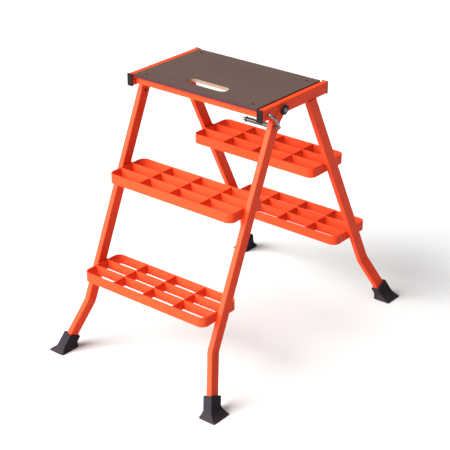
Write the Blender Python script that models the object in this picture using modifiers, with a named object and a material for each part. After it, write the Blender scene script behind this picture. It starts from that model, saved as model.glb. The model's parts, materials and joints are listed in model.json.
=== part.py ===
"""Folding double-sided step trestle: a small work platform on a fixed rear frame and a folding front frame.

Metres, +Z up, +X along the board's long side, -Y towards the frame that folds.
The origin is on the floor, in the middle of the footprint.
"""

import math
from typing import NamedTuple

import bmesh
import bpy
from mathutils import Matrix, Vector

# Overall
TOTAL_HEIGHT = 0.750
GAP = 0.0003
SLIP = 0.0002

# Rectangular steel tube, used for rails and legs
TUBE_WIDTH = 0.016
TUBE_DEPTH = 0.032
TUBE_WALL = 0.0015
TUBE_CORNER = 0.0025

# Platform, measured from its own centre line
BOARD_THICKNESS = 0.009
BOARD_PROUD = 0.0015
BOARD_FRONT = -0.1370
BOARD_REAR = 0.1350
BOARD_SIDE_GAP = 0.0025
BOARD_CORNER = 0.003
RAIL_OUTER_X = 0.2238
RAIL_TUBE_LENGTH = 0.2780
CAP_HEAD = 0.003
CAP_OVERHANG = 0.001
CAP_PLUG = 0.016
CAP_PLUG_GAP = 0.0006
CROSS_RAIL_DEPTH = 0.025
CROSS_RAIL_HEIGHT = 0.020
CROSS_RAIL_INSET = 0.010
SLOT_LENGTH = 0.134
SLOT_WIDTH = 0.035
SLOT_Y = -0.081
SCREW_X = 0.178
SCREW_INSET = 0.0225
SCREW_HEAD_R = 0.0040
SCREW_SHANK_R = 0.0020
SCREW_LENGTH = 0.018

# Frames
SPLAY = 0.324
BEND_HALF = 0.006
TUBE_END_Z = 0.009
LUG_THICKNESS = 0.0015
LUG_CORNER = 0.0004
FRONT_LEG_OUTER_X = RAIL_OUTER_X + GAP + LUG_THICKNESS
REAR_LEG_OUTER_X = 0.2250
LUG_RADIUS = 0.0125
LUG_LIFT = 0.0015
SHOULDER_FRONT_DROP = 0.0355
SHOULDER_REAR_DROP = 0.0485
TUBE_TOP_DROP = 0.052
PIVOT_Y = -0.055
PIVOT_DROP = 0.0195

# Steps: a rim of flat bar with a grid of thinner bars
STEP_HEIGHT = 0.0275
STEP_CORNER = 0.020
RIM_THICKNESS = 0.004
BAR_THICKNESS = 0.003
LONG_BARS = 2
CROSS_BARS = 3

# Feet
FOOT_TOP_Z = 0.047
FOOT_WALL = 0.0060
FOOT_TOP_EDGE = 0.001
FOOT_FLARE_Z = 0.0205
FOOT_FLARE_POWER = 1.4
FOOT_FLARE_STEPS = 6
FOOT_CORNER = 0.0025
SOLE_EDGE = 0.003
SOLE_OUT_X = 0.0300
SOLE_IN_X = 0.0211
SOLE_OUT_Y = 0.0281
SOLE_IN_Y = 0.0340

# Pivot
BOLT_R = 0.004
BOLT_HOLE_R = 0.0044
BOLT_HEAD_R = 0.0070
BOLT_HEAD_HEIGHT = 0.0035
BOSS_R = 0.0125
BOSS_THICKNESS = 0.0065
BOSS_FLOOR = 0.0030
BOSS_RECESS_R = 0.0084
BOSS_LOBE_R = 0.0045
BOSS_LOBE_REACH = 0.0115
BOSS_LOBE_ANGLE = math.radians(12)
NUT_ACROSS_CORNERS = 0.0150
NUT_HEIGHT = 0.0045
NUT_EDGE = 0.0004
BOLT_PROUD = 0.0015

# Lock pin: a bent rod through the right front leg, whose short end enters the rail
ROD_R = 0.004
ROD_HOLE_R = 0.0046
ROD_INNER_X = 0.122
ROD_OUTER_X = 0.2400
ROD_TIP_ENGAGED = 0.003
ROD_LOW_BEND = 0.0075
LOCK_LEG_DROP = 0.0580
LOCK_RAIL_Y = -0.1155
LOCK_RAIL_DROP = 0.0160
LOCK_WASHER_X = 0.1335
LOCK_WASHER_R = 0.0075
LOCK_WASHER_THICKNESS = 0.0015
LOCK_CLIP_R = 0.0060
LOCK_CLIP_THICKNESS = 0.0012
SPRING_MEAN_R = 0.0056
SPRING_WIRE_R = 0.0006
SPRING_TURNS = 30
SPRING_STEPS = 10


class Frame(NamedTuple):
    """One pair of legs: its side, line and bend, and its steps' tops and reach beyond the legs."""

    name: str
    side: int
    start: float
    lean: float
    outer_x: float
    bend_z: float
    step_tops: tuple
    step_out: float
    step_in: float


FRONT = Frame("front", -1, 0.0614, 0.4346, FRONT_LEG_OUTER_X, 0.1454, (0.249, 0.500), 0.0570, 0.0484)
REAR = Frame("rear", 1, 0.0577, 0.5045, REAR_LEG_OUTER_X, 0.1425, (0.256, 0.506), 0.0622, 0.0566)
FRAMES = (FRONT, REAR)
SIDES = (("left", -1), ("right", 1))
STEP_NAMES = ("lower", "upper")

# Worked out from the above
RAIL_TOP = TOTAL_HEIGHT - BOARD_PROUD
RAIL_BOTTOM = RAIL_TOP - TUBE_DEPTH
RAIL_INNER_X = RAIL_OUTER_X - TUBE_WIDTH
BOARD_BOTTOM = TOTAL_HEIGHT - BOARD_THICKNESS
PIVOT_Z = RAIL_TOP - PIVOT_DROP
FRONT_REACH = FRONT.start + FRONT.lean * RAIL_TOP + SOLE_OUT_Y
REAR_REACH = REAR.start + REAR.lean * RAIL_TOP + SOLE_OUT_Y
PLATFORM_Y = (FRONT_REACH - REAR_REACH) / 2
LOCK_LEG_Z = RAIL_TOP - LOCK_LEG_DROP
LOCK_LEG_Y = -(FRONT.start + FRONT.lean * LOCK_LEG_DROP)
LOCK_RAIL_Z = RAIL_TOP - LOCK_RAIL_DROP

ORANGE = ("orange_paint", (0.80, 0.100, 0.022), 0.42, 0.0)
BOARD_FILM = ("board_film", (0.075, 0.045, 0.038), 0.55, 0.0)
BLACK_PLASTIC = ("black_plastic", (0.020, 0.020, 0.021), 0.50, 0.0)
BLACK_RUBBER = ("black_rubber", (0.028, 0.027, 0.028), 0.80, 0.0)
BLACK_STEEL = ("black_steel", (0.030, 0.028, 0.028), 0.45, 1.0)
ZINC = ("zinc_steel", (0.62, 0.62, 0.60), 0.35, 1.0)
BRIGHT_ROD = ("bright_rod", (0.60, 0.58, 0.56), 0.25, 1.0)


# Scene, materials and objects


def clear_scene():
    """Removes what the new file comes with."""
    for obj in list(bpy.data.objects):
        bpy.data.objects.remove(obj, do_unlink=True)


def new_collection(name):
    """An empty collection in the scene."""
    collection = bpy.data.collections.new(name)
    bpy.context.scene.collection.children.link(collection)
    return collection


def material(finish):
    """The Principled material for a finish, made once."""
    name, colour, roughness, metallic = finish
    found = bpy.data.materials.get(name)
    if found:
        return found
    made = bpy.data.materials.new(name)
    made.use_nodes = True
    shader = made.node_tree.nodes["Principled BSDF"]
    shader.inputs["Base Color"].default_value = (*colour, 1.0)
    shader.inputs["Roughness"].default_value = roughness
    shader.inputs["Metallic"].default_value = metallic
    return made


def add_object(name, data, finish, matrix=Matrix.Identity(4)):
    """A piece of the trestle, with its finish."""
    obj = bpy.data.objects.new(name, data)
    obj.matrix_world = matrix
    obj.data.materials.append(material(finish))
    parts.objects.link(obj)
    return obj


def add_cutter(name, data, matrix=Matrix.Identity(4)):
    """A hidden helper that another piece's modifier uses."""
    obj = bpy.data.objects.new(name, data)
    obj.matrix_world = matrix
    obj.hide_render = True
    obj.display_type = "WIRE"
    cutters.objects.link(obj)
    return obj


def cut(obj, cutter):
    """Takes a cutter's shape away from a piece."""
    modifier = obj.modifiers.new(cutter.name, "BOOLEAN")
    modifier.operation = "DIFFERENCE"
    modifier.solver = "EXACT"
    modifier.object = cutter


def join(obj, cutter):
    """Adds a cutter's shape to a piece."""
    modifier = obj.modifiers.new(cutter.name, "BOOLEAN")
    modifier.operation = "UNION"
    modifier.solver = "EXACT"
    modifier.object = cutter


def bevel(obj, width, segments=2):
    """Chamfers or rounds a piece's sharp edges."""
    modifier = obj.modifiers.new("edges", "BEVEL")
    modifier.width = width
    modifier.segments = segments
    modifier.limit_method = "ANGLE"


# Shapes


def box_mesh(name, low, high):
    """A box between two corners, in place."""
    low, high = Vector(low), Vector(high)
    mesh = bpy.data.meshes.new(name)
    bm = bmesh.new()
    bmesh.ops.create_cube(bm, size=1.0)
    size = high - low
    bmesh.ops.scale(bm, vec=size, verts=bm.verts)
    bmesh.ops.translate(bm, vec=(low + high) / 2, verts=bm.verts)
    bm.to_mesh(mesh)
    bm.free()
    return mesh


def cylinder_mesh(name, radius, length, segments=32, straight=0.0):
    """A prism along local Z from 0 to length, round or drawn out along X by a straight middle."""
    mesh = bpy.data.meshes.new(name)
    bm = bmesh.new()
    bmesh.ops.create_cone(
        bm, cap_ends=True, segments=segments, radius1=radius, radius2=radius, depth=length
    )
    bmesh.ops.rotate(bm, matrix=Matrix.Rotation(math.pi / segments, 3, "Z"), verts=bm.verts)
    bmesh.ops.translate(bm, vec=(0, 0, length / 2), verts=bm.verts)
    for vert in bm.verts:
        vert.co.x += math.copysign(straight / 2, vert.co.x)
    bm.to_mesh(mesh)
    bm.free()
    return mesh


def turned(name, profile, finish, matrix, steps=32):
    """A closed profile of (radius, height) points, outer side from top to bottom, turned about local Z."""
    mesh = bpy.data.meshes.new(name)
    verts = [(radius, 0.0, height) for radius, height in profile]
    edges = [(i, i + 1) for i in range(len(verts) - 1)]
    if profile[0][0] > 0:
        edges.append((len(verts) - 1, 0))
    mesh.from_pydata(verts, edges, [])
    obj = add_object(name, mesh, finish, matrix)
    screw = obj.modifiers.new("turn", "SCREW")
    screw.steps = steps
    screw.render_steps = steps
    screw.use_merge_vertices = True
    screw.merge_threshold = 0.00001
    return obj


def loft(name, rings, closed=False):
    """Skin through rings of equally many points, capped at both ends or closed onto the first ring."""
    mesh = bpy.data.meshes.new(name)
    bm = bmesh.new()
    rows = [[bm.verts.new(point) for point in ring] for ring in rings]
    count = len(rows[0])
    pairs = list(zip(rows, rows[1:]))
    if closed:
        pairs.append((rows[-1], rows[0]))
    for one, two in pairs:
        for i in range(count):
            j = (i + 1) % count
            bm.faces.new((one[i], one[j], two[j], two[i]))
    if not closed:
        bm.faces.new(rows[0])
        bm.faces.new(rows[-1])
    bmesh.ops.recalc_face_normals(bm, faces=bm.faces)
    bm.to_mesh(mesh)
    bm.free()
    return mesh


def flat_curve(name, outlines, thickness):
    """Closed outlines of (x, y) points, filled and given a thickness about local Z = 0."""
    curve = bpy.data.curves.new(name, "CURVE")
    curve.dimensions = "2D"
    curve.fill_mode = "BOTH"
    curve.extrude = thickness / 2
    for outline in outlines:
        spline = curve.splines.new("POLY")
        spline.points.add(len(outline) - 1)
        for point, (x, y) in zip(spline.points, outline):
            point.co = (x, y, 0, 1)
        spline.use_cyclic_u = True
    return curve


def rod_curve(name, points, radius, resolution):
    """A round rod along a line of points."""
    curve = bpy.data.curves.new(name, "CURVE")
    curve.dimensions = "3D"
    curve.bevel_depth = radius
    curve.bevel_resolution = resolution
    curve.use_fill_caps = True
    spline = curve.splines.new("POLY")
    spline.points.add(len(points) - 1)
    for point, place in zip(spline.points, points):
        point.co = (*place, 1)
    return curve


def arc(centre, radius, start, end, count):
    """Points on an arc in a plane, angles in radians, both ends included."""
    angles = [start + (end - start) * i / count for i in range(count + 1)]
    return [(centre[0] + radius * math.cos(a), centre[1] + radius * math.sin(a)) for a in angles]


def rounded_outline(half_x, half_y, radius, count=6):
    """A rectangle with round corners about the origin."""
    points = []
    for i, (sx, sy) in enumerate(((1, 1), (-1, 1), (-1, -1), (1, -1))):
        centre = (sx * (half_x - radius), sy * (half_y - radius))
        points += arc(centre, radius, i * math.pi / 2, (i + 1) * math.pi / 2, count)
    return points


def section(front, rear, x_low, x_high, radius):
    """A round-cornered ring between a front and a rear edge (y, z) and two x planes."""
    depth = math.dist(front, rear)
    width = x_high - x_low
    radius = min(radius, 0.45 * depth, 0.45 * width)
    outline = rounded_outline(depth / 2, width / 2, radius, 2)
    ring = []
    for along, across in outline:
        t = along / depth + 0.5
        y = front[0] + (rear[0] - front[0]) * t
        z = front[1] + (rear[1] - front[1]) * t
        ring.append(Vector((x_low + width / 2 + across, y + PLATFORM_Y, z)))
    return ring


# Leg geometry


def leg_y(frame, z):
    """The leg's centre line, from the platform's centre, at a height."""
    return frame.side * (frame.start + frame.lean * (RAIL_TOP - z))


def leg_slope(frame, z):
    """The splay at a height: none above the bend, all of it below, growing evenly between."""
    below = (frame.bend_z + BEND_HALF - z) / (2 * BEND_HALF)
    return SPLAY * min(max(below, 0.0), 1.0)


def leg_x(frame, z):
    """The leg's centre line in x: straight above the bend, splayed below it, round between."""
    centre = frame.outer_x - TUBE_WIDTH / 2
    below = frame.bend_z - z
    if abs(below) >= BEND_HALF:
        return centre + SPLAY * max(below, 0.0)
    return centre + SPLAY * (below + BEND_HALF) ** 2 / (4 * BEND_HALF)


def leg_half_depth(frame, inset=0.0):
    """Half the leg's depth measured level, for a leg that leans."""
    return (TUBE_DEPTH / 2 - inset) * math.hypot(1, frame.lean)


def leg_lift(frame, u):
    """How much higher a point u from the leg's line, measured level, lies than its square section."""
    return frame.side * u * frame.lean / (1 + frame.lean**2)


def leg_section(frame, z, sign, square, inset=0.0):
    """The leg's section at a height; square 1 sets it square to the leg's upper part, 0 level.

    The leg is bent about its own depth, so points that share a square section share their splay.
    The inset makes the section of its hollow.
    """
    half_y, half_x = leg_half_depth(frame, inset), TUBE_WIDTH / 2 - inset
    radius = max(TUBE_CORNER - inset, 0.0008)
    ring = []
    for u, v in rounded_outline(half_y, half_x, radius, 2):
        lift = leg_lift(frame, u)
        at = z + square * lift
        widened = v * math.hypot(1, leg_slope(frame, at - lift) / math.hypot(1, frame.lean))
        ring.append(Vector((leg_x(frame, at - lift) + widened, leg_y(frame, at) + u + PLATFORM_Y, at)))
    return mirrored(ring, sign)


def mirrored(ring, sign):
    """The ring on the left or right side, which is drawn for the right."""
    return [Vector((sign * point.x, point.y, point.z)) for point in ring]


def leg_levels(frame, top):
    """Heights and squareness of sections from the top to the tube's end, close through the bend."""
    bend = [(frame.bend_z + BEND_HALF * t, 1.0) for t in (1.0, 0.6, 0.2, -0.2, -0.6, -1.0)]
    return [(top, 0.0), *bend, (TUBE_END_Z, 0.0)]


def tube_sections(frame, top, sign):
    """Sections down the outside of a leg's tube and back up its inside."""
    levels = leg_levels(frame, top)
    outer = [leg_section(frame, z, sign, square) for z, square in levels]
    inner = [leg_section(frame, z, sign, square, TUBE_WALL) for z, square in reversed(levels)]
    return outer + inner


def rear_leg(name, sign):
    """An open tube from under the rail down into its foot."""
    rings = tube_sections(REAR, RAIL_BOTTOM - GAP, sign)
    return add_object(name, loft(name, rings, closed=True), ORANGE)


def drill(obj, label, radius, middle_x, at, length):
    """Cuts a hole along X through an object; at is (y, z) with y from the platform's centre."""
    name = f"{obj.name}_{label}_hole"
    start = Vector((middle_x - length / 2, at[0] + PLATFORM_Y, at[1]))
    place = Matrix.Translation(start) @ Matrix.Rotation(math.pi / 2, 4, "Y")
    cut(obj, add_cutter(name, cylinder_mesh(name, radius, length), place))


def front_edge(frame, drop, edge):
    """A point on the leg's front (-1) or rear (1) edge, at a drop below the rail's top."""
    z = RAIL_TOP - drop
    return (leg_y(frame, z) + edge * leg_half_depth(frame), z)


def front_leg(name, sign):
    """Tube up to just under the rail; above that its outer wall alone runs on as a lug beside the rail."""
    full_x = (FRONT.outer_x - TUBE_WIDTH, FRONT.outer_x)
    lug_x = (FRONT.outer_x - LUG_THICKNESS, FRONT.outer_x)
    shoulder = (
        front_edge(FRONT, SHOULDER_FRONT_DROP, -1),
        front_edge(FRONT, SHOULDER_REAR_DROP, 1),
    )
    middle = ((shoulder[0][0] + shoulder[1][0]) / 2, (shoulder[0][1] + shoulder[1][1]) / 2)
    along = Vector((PIVOT_Y - middle[0], PIVOT_Z - middle[1])).normalized()
    across = Vector((-along.y, along.x))
    pivot = Vector((PIVOT_Y, PIVOT_Z))

    def lug_section(angle):
        centre = pivot + along * LUG_RADIUS * math.sin(angle)
        half = across * LUG_RADIUS * math.cos(angle)
        return section(tuple(centre + half), tuple(centre - half), *lug_x, LUG_CORNER)

    rings = [lug_section(math.radians(a)) for a in (80, 60, 40, 20, 0)]
    lift = along * LUG_LIFT
    lifted = [tuple(Vector(point) + lift) for point in shoulder]
    rings.append(section(*lifted, *lug_x, LUG_CORNER))
    rings.append(section(*shoulder, *full_x, TUBE_CORNER))
    rings = [mirrored(ring, sign) for ring in rings]
    rings += tube_sections(FRONT, RAIL_TOP - TUBE_TOP_DROP, sign)
    leg = add_object(name, loft(name, rings), ORANGE)
    middle_x = sign * (FRONT.outer_x - TUBE_WIDTH / 2)
    drill(leg, "pivot", BOLT_HOLE_R, middle_x, (PIVOT_Y, PIVOT_Z), 2 * TUBE_WIDTH)
    drill(leg, "lock", ROD_HOLE_R, middle_x, (LOCK_LEG_Y, LOCK_LEG_Z), 2 * TUBE_WIDTH)
    return leg


# Sub-parts


def tube_outlines(width, height):
    """A rectangular tube's outer and inner outline."""
    return [
        rounded_outline(width / 2, height / 2, TUBE_CORNER, 3),
        rounded_outline(width / 2 - TUBE_WALL, height / 2 - TUBE_WALL, TUBE_CORNER - TUBE_WALL, 3),
    ]


def end_rail(name, sign):
    """An open tube along Y, with holes for the pivot bolt and the lock pin."""
    middle = sign * (RAIL_INNER_X + RAIL_OUTER_X) / 2
    along_y = Matrix.Rotation(math.pi / 2, 4, "X")
    place = Matrix.Translation((middle, PLATFORM_Y, (RAIL_TOP + RAIL_BOTTOM) / 2)) @ along_y
    outlines = tube_outlines(TUBE_WIDTH, TUBE_DEPTH)
    rail = prism_from_outlines(name, outlines, RAIL_TUBE_LENGTH, place, ORANGE)
    drill(rail, "bolt", BOLT_HOLE_R, middle, (PIVOT_Y, PIVOT_Z), 2 * TUBE_WIDTH)
    outer_x = sign * RAIL_OUTER_X
    drill(rail, "lock", ROD_HOLE_R, outer_x, (LOCK_RAIL_Y, LOCK_RAIL_Z), TUBE_WIDTH / 2)
    return rail


def cross_rail(name, edge_y, inward):
    """An open tube along X under the board, from its outer face at edge_y inwards."""
    top = BOARD_BOTTOM - GAP
    length = 2 * (RAIL_INNER_X - GAP)
    middle_y = PLATFORM_Y + edge_y + inward * CROSS_RAIL_DEPTH / 2
    middle = (0, middle_y, top - CROSS_RAIL_HEIGHT / 2)
    outlines = tube_outlines(CROSS_RAIL_DEPTH, CROSS_RAIL_HEIGHT)
    place = Matrix.Translation(middle) @ upright()
    return prism_from_outlines(name, outlines, length, place, ORANGE)


def end_cap(name, sign, end):
    """A head a little larger than the tube and a plug inside it."""
    low_x, high_x = sorted((sign * RAIL_INNER_X, sign * RAIL_OUTER_X))
    mouth = PLATFORM_Y + end * RAIL_TUBE_LENGTH / 2
    head_y = sorted((mouth + end * GAP, mouth + end * CAP_HEAD))
    cap = add_object(
        name,
        box_mesh(
            name,
            (low_x - CAP_OVERHANG, head_y[0], RAIL_BOTTOM - CAP_OVERHANG),
            (high_x + CAP_OVERHANG, head_y[1], RAIL_TOP + CAP_OVERHANG),
        ),
        BLACK_PLASTIC,
    )
    bevel(cap, 0.0008, 1)
    inset = TUBE_WALL + CAP_PLUG_GAP
    plug_y = sorted((mouth + end * CAP_HEAD / 2, mouth - end * CAP_PLUG))
    plug = box_mesh(
        f"{name}_plug",
        (low_x + inset, plug_y[0], RAIL_BOTTOM + inset),
        (high_x - inset, plug_y[1], RAIL_TOP - inset),
    )
    join(cap, add_cutter(f"{name}_plug", plug))
    return cap


def top_board(screw_places):
    """The board with its hand slot and countersunk holes."""
    half_x = RAIL_INNER_X - BOARD_SIDE_GAP
    half_y = (BOARD_REAR - BOARD_FRONT) / 2
    outline = rounded_outline(half_x, half_y, BOARD_CORNER)
    middle = (0, PLATFORM_Y + BOARD_FRONT + half_y, (BOARD_BOTTOM + TOTAL_HEIGHT) / 2)
    board = prism_from_outlines(
        "top_board", [outline], BOARD_THICKNESS, Matrix.Translation(middle), BOARD_FILM
    )
    slot = cylinder_mesh("hand_slot", SLOT_WIDTH / 2, 0.03, 32, SLOT_LENGTH - SLOT_WIDTH)
    place = Matrix.Translation((0, PLATFORM_Y + SLOT_Y, BOARD_BOTTOM - 0.01))
    cut(board, add_cutter("hand_slot", slot, place))
    for i, (x, y) in enumerate(screw_places):
        hole = cylinder_mesh(f"board_hole_{i}", SCREW_SHANK_R + 0.0004, 0.03, 16)
        cut(board, add_cutter(f"board_hole_{i}", hole, Matrix.Translation((x, y, BOARD_BOTTOM - 0.01))))
        sink = sink_mesh(f"board_sink_{i}")
        cut(board, add_cutter(f"board_sink_{i}", sink, Matrix.Translation((x, y, TOTAL_HEIGHT))))
    return board


def sink_mesh(name):
    """The countersink's cone, a clearance larger than the screw's head."""
    mesh = bpy.data.meshes.new(name)
    bm = bmesh.new()
    top = SCREW_HEAD_R + 0.0012
    depth = top - SCREW_SHANK_R
    bmesh.ops.create_cone(
        bm, cap_ends=True, segments=24, radius1=top - depth, radius2=top + 0.001, depth=depth + 0.001
    )
    bmesh.ops.translate(bm, vec=(0, 0, 0.001 - (depth + 0.001) / 2), verts=bm.verts)
    bm.to_mesh(mesh)
    bm.free()
    return mesh


def board_screw(name, x, y):
    """A countersunk screw, its head just under the board's face."""
    cone = SCREW_HEAD_R - SCREW_SHANK_R
    profile = [
        (0.0, -0.0003),
        (SCREW_HEAD_R, -0.0003),
        (SCREW_HEAD_R, -0.0007),
        (SCREW_SHANK_R, -0.0007 - cone),
        (SCREW_SHANK_R, -SCREW_LENGTH + 0.003),
        (0.0, -SCREW_LENGTH),
    ]
    return turned(name, profile, BLACK_STEEL, Matrix.Translation((x, y, TOTAL_HEIGHT)), 16)


def bolt_parts(side, sign):
    """The carriage bolt, the black boss round its nut and the nut itself."""
    turn = Matrix.Rotation(sign * math.pi / 2, 4, "Y")
    head = Matrix.Translation((sign * (RAIL_INNER_X - GAP), PLATFORM_Y + PIVOT_Y, PIVOT_Z)) @ turn
    face = FRONT_LEG_OUTER_X + GAP
    nut_low = face + BOSS_FLOOR + GAP
    length = nut_low + NUT_HEIGHT + BOLT_PROUD - (RAIL_INNER_X - GAP)
    dome = arc((0, 0), 1.0, 0, math.pi / 2, 5)
    profile = [(0.0, length), (BOLT_R - 0.0005, length), (BOLT_R, length - 0.0005), (BOLT_R, 0.0)]
    profile += [(BOLT_HEAD_R * x, -BOLT_HEAD_HEIGHT * y) for x, y in dome[:-1]]
    profile.append((0.0, -BOLT_HEAD_HEIGHT))
    turned(f"pivot_bolt_{side}", profile, ZINC, head, 24)

    place = Matrix.Translation((sign * (face + BOSS_THICKNESS / 2), PLATFORM_Y + PIVOT_Y, PIVOT_Z))
    place = place @ upright()
    boss = prism_from_outlines(
        f"pivot_boss_{side}", [boss_outline()], BOSS_THICKNESS, place, BLACK_PLASTIC
    )
    axis = (PIVOT_Y, PIVOT_Z)
    drill(boss, "bore", BOLT_HOLE_R, sign * face, axis, 4 * BOSS_THICKNESS)
    recess_middle = sign * (face + BOSS_FLOOR + BOSS_THICKNESS)
    drill(boss, "recess", BOSS_RECESS_R, recess_middle, axis, 2 * BOSS_THICKNESS)

    nut = cylinder_mesh(f"pivot_nut_{side}", NUT_ACROSS_CORNERS / 2, NUT_HEIGHT, 6)
    low = min(sign * nut_low, sign * (nut_low + NUT_HEIGHT))
    across_x = Matrix.Rotation(math.pi / 2, 4, "Y")
    at = Matrix.Translation((low, PLATFORM_Y + PIVOT_Y, PIVOT_Z)) @ across_x
    nut_object = add_object(f"pivot_nut_{side}", nut, ZINC, at)
    bevel(nut_object, NUT_EDGE, 1)
    drill(nut_object, "bore", BOLT_R + SLIP, low, axis, 4 * NUT_HEIGHT)


def boss_outline():
    """A circle with a lobe pointing rearwards; (y, z) about the pivot."""
    lobe = (
        BOSS_LOBE_REACH * math.cos(BOSS_LOBE_ANGLE),
        BOSS_LOBE_REACH * math.sin(BOSS_LOBE_ANGLE),
    )
    points = []
    for i in range(48):
        angle = 2 * math.pi * i / 48
        ray = (math.cos(angle), math.sin(angle))
        along = lobe[0] * ray[0] + lobe[1] * ray[1]
        off = BOSS_LOBE_REACH**2 - along**2
        reach = BOSS_R
        if along > 0 and off < BOSS_LOBE_R**2:
            reach = max(reach, along + math.sqrt(BOSS_LOBE_R**2 - off))
        points.append((reach * ray[0], reach * ray[1]))
    return points


def upright():
    """Turns an outline drawn in (x, y) so that it lies in (y, z), with its thickness along x."""
    return Matrix(((0, 0, 1, 0), (1, 0, 0, 0), (0, 1, 0, 0), (0, 0, 0, 1)))


def prism_from_outlines(name, outlines, thickness, matrix, finish):
    """A flat curve made into a mesh, so that it can be cut."""
    guide = bpy.data.objects.new(f"{name}_outline", flat_curve(f"{name}_outline", outlines, thickness))
    cutters.objects.link(guide)
    bpy.context.view_layer.update()
    evaluated = guide.evaluated_get(bpy.context.evaluated_depsgraph_get())
    mesh = bpy.data.meshes.new_from_object(evaluated)
    bpy.data.objects.remove(guide, do_unlink=True)
    bm = bmesh.new()
    bm.from_mesh(mesh)
    bmesh.ops.remove_doubles(bm, verts=bm.verts, dist=0.00001)
    bmesh.ops.recalc_face_normals(bm, faces=bm.faces)
    bm.to_mesh(mesh)
    bm.free()
    mesh.name = name
    mesh.materials.clear()
    return add_object(name, mesh, finish, matrix)


def foot_section(frame, z, extents, radius, square=0.0, skew=1.0):
    """A ring round the leg at a height; square 1 sets it square to the leg, 0 level.

    The extents are how far it reaches outwards and inwards in x, and away and back in y.
    Skew 1 turns its sides with the splayed leg's, 0 leaves them along y.
    """
    out_x, in_x, away, back = extents
    low_u, high_u = (-back, away) if frame.side > 0 else (-away, back)
    slope = SPLAY**2 + frame.lean**2 + 1
    ring = []
    for point in section((low_u, 0.0), (high_u, 0.0), -in_x, out_x, radius):
        u = point.y - PLATFORM_Y
        v = point.x + skew * SPLAY * leg_lift(frame, u)
        at = z + square * (SPLAY * v + frame.side * frame.lean * u) / slope
        ring.append(Vector((leg_x(frame, at) + v, leg_y(frame, at) + u + PLATFORM_Y, at)))
    return ring


def foot(name, frame, sign):
    """A socket set square to the leg, above a flared sole."""
    wall_x = TUBE_WIDTH / 2 + FOOT_WALL
    wall_y = leg_half_depth(frame) + FOOT_WALL
    walls = (wall_x, wall_x, wall_y, wall_y)
    soles = (SOLE_OUT_X, SOLE_IN_X, SOLE_OUT_Y, SOLE_IN_Y)
    rings = [foot_section(frame, 0.0, soles, FOOT_CORNER, skew=0.0)]
    for i in range(FOOT_FLARE_STEPS + 1):
        t = (1 - i / FOOT_FLARE_STEPS) ** FOOT_FLARE_POWER
        z = SOLE_EDGE + (FOOT_FLARE_Z - SOLE_EDGE) * i / FOOT_FLARE_STEPS
        reach = [wall + (sole - wall) * t for wall, sole in zip(walls, soles)]
        rings.append(foot_section(frame, z, reach, FOOT_CORNER, skew=1 - t))
    edge = FOOT_TOP_EDGE
    trimmed = [wall - edge for wall in walls]
    rings.append(foot_section(frame, FOOT_TOP_Z - edge, walls, FOOT_CORNER, 1.0))
    rings.append(foot_section(frame, FOOT_TOP_Z, trimmed, FOOT_CORNER, 1.0))
    hole_x = TUBE_WIDTH / 2 * math.hypot(1, SPLAY) + GAP
    hole_y = leg_half_depth(frame) + GAP
    holes = (hole_x, hole_x, hole_y, hole_y)
    for z, square in ((FOOT_TOP_Z, 1.0), (FOOT_FLARE_Z, 0.0), (TUBE_END_Z - GAP, 0.0)):
        rings.append(foot_section(frame, z, holes, TUBE_CORNER, square))
    rings = [mirrored(ring, sign) for ring in rings]
    return add_object(name, loft(name, rings), BLACK_RUBBER)


def notched_bar(length, notches, from_top):
    """A bar's side outline with half-depth notches for the bars that cross it."""
    half, height = length / 2, STEP_HEIGHT / 2
    slot = BAR_THICKNESS / 2 + GAP
    edge = height if from_top else -height
    floor = -GAP if from_top else GAP
    side = [(-half, edge)]
    for x in notches:
        side += [(x - slot, edge), (x - slot, floor), (x + slot, floor), (x + slot, edge)]
    side += [(half, edge), (half, -edge), (-half, -edge)]
    return side


def step(frame, label, top):
    """A rim of flat bar, two long bars and three cross bars, halved into each other."""
    name = f"{frame.name}_{label}_step"
    centre_y = leg_y(frame, top)
    half_leg = leg_half_depth(frame)
    outer = centre_y + frame.side * (half_leg + frame.step_out)
    inner = centre_y - frame.side * (half_leg + frame.step_in)
    middle = (outer + inner) / 2
    depth = abs(outer - inner)
    half_x = frame.outer_x - TUBE_WIDTH - GAP
    half_y = depth / 2
    place = Matrix.Translation((0, PLATFORM_Y + middle, top - STEP_HEIGHT / 2))
    outlines = [
        rounded_outline(half_x, half_y, STEP_CORNER, 8),
        rounded_outline(half_x - RIM_THICKNESS, half_y - RIM_THICKNESS, STEP_CORNER - RIM_THICKNESS, 8),
    ]
    add_object(f"{name}_rim", flat_curve(f"{name}_rim", outlines, STEP_HEIGHT), ORANGE, place)
    clear_x = half_x - RIM_THICKNESS - GAP
    clear_y = half_y - RIM_THICKNESS - GAP
    rows = [clear_y * 2 * (i + 1) / (LONG_BARS + 1) - clear_y for i in range(LONG_BARS)]
    columns = [clear_x * 2 * (i + 1) / (CROSS_BARS + 1) - clear_x for i in range(CROSS_BARS)]
    flat = Matrix.Rotation(math.pi / 2, 4, "X")
    for row, y in zip(("a", "b"), rows):
        outline = notched_bar(2 * clear_x, columns, True)
        curve = flat_curve(f"{name}_bar_{row}", [outline], BAR_THICKNESS)
        at = place @ Matrix.Translation((0, y, 0)) @ flat
        add_object(f"{name}_bar_{row}", curve, ORANGE, at)
    for column, x in zip(("left", "middle", "right"), columns):
        outline = notched_bar(2 * clear_y, rows, False)
        curve = flat_curve(f"{name}_cross_{column}", [outline], BAR_THICKNESS)
        at = place @ Matrix.Translation((x, 0, 0)) @ upright()
        add_object(f"{name}_cross_{column}", curve, ORANGE, at)


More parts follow.
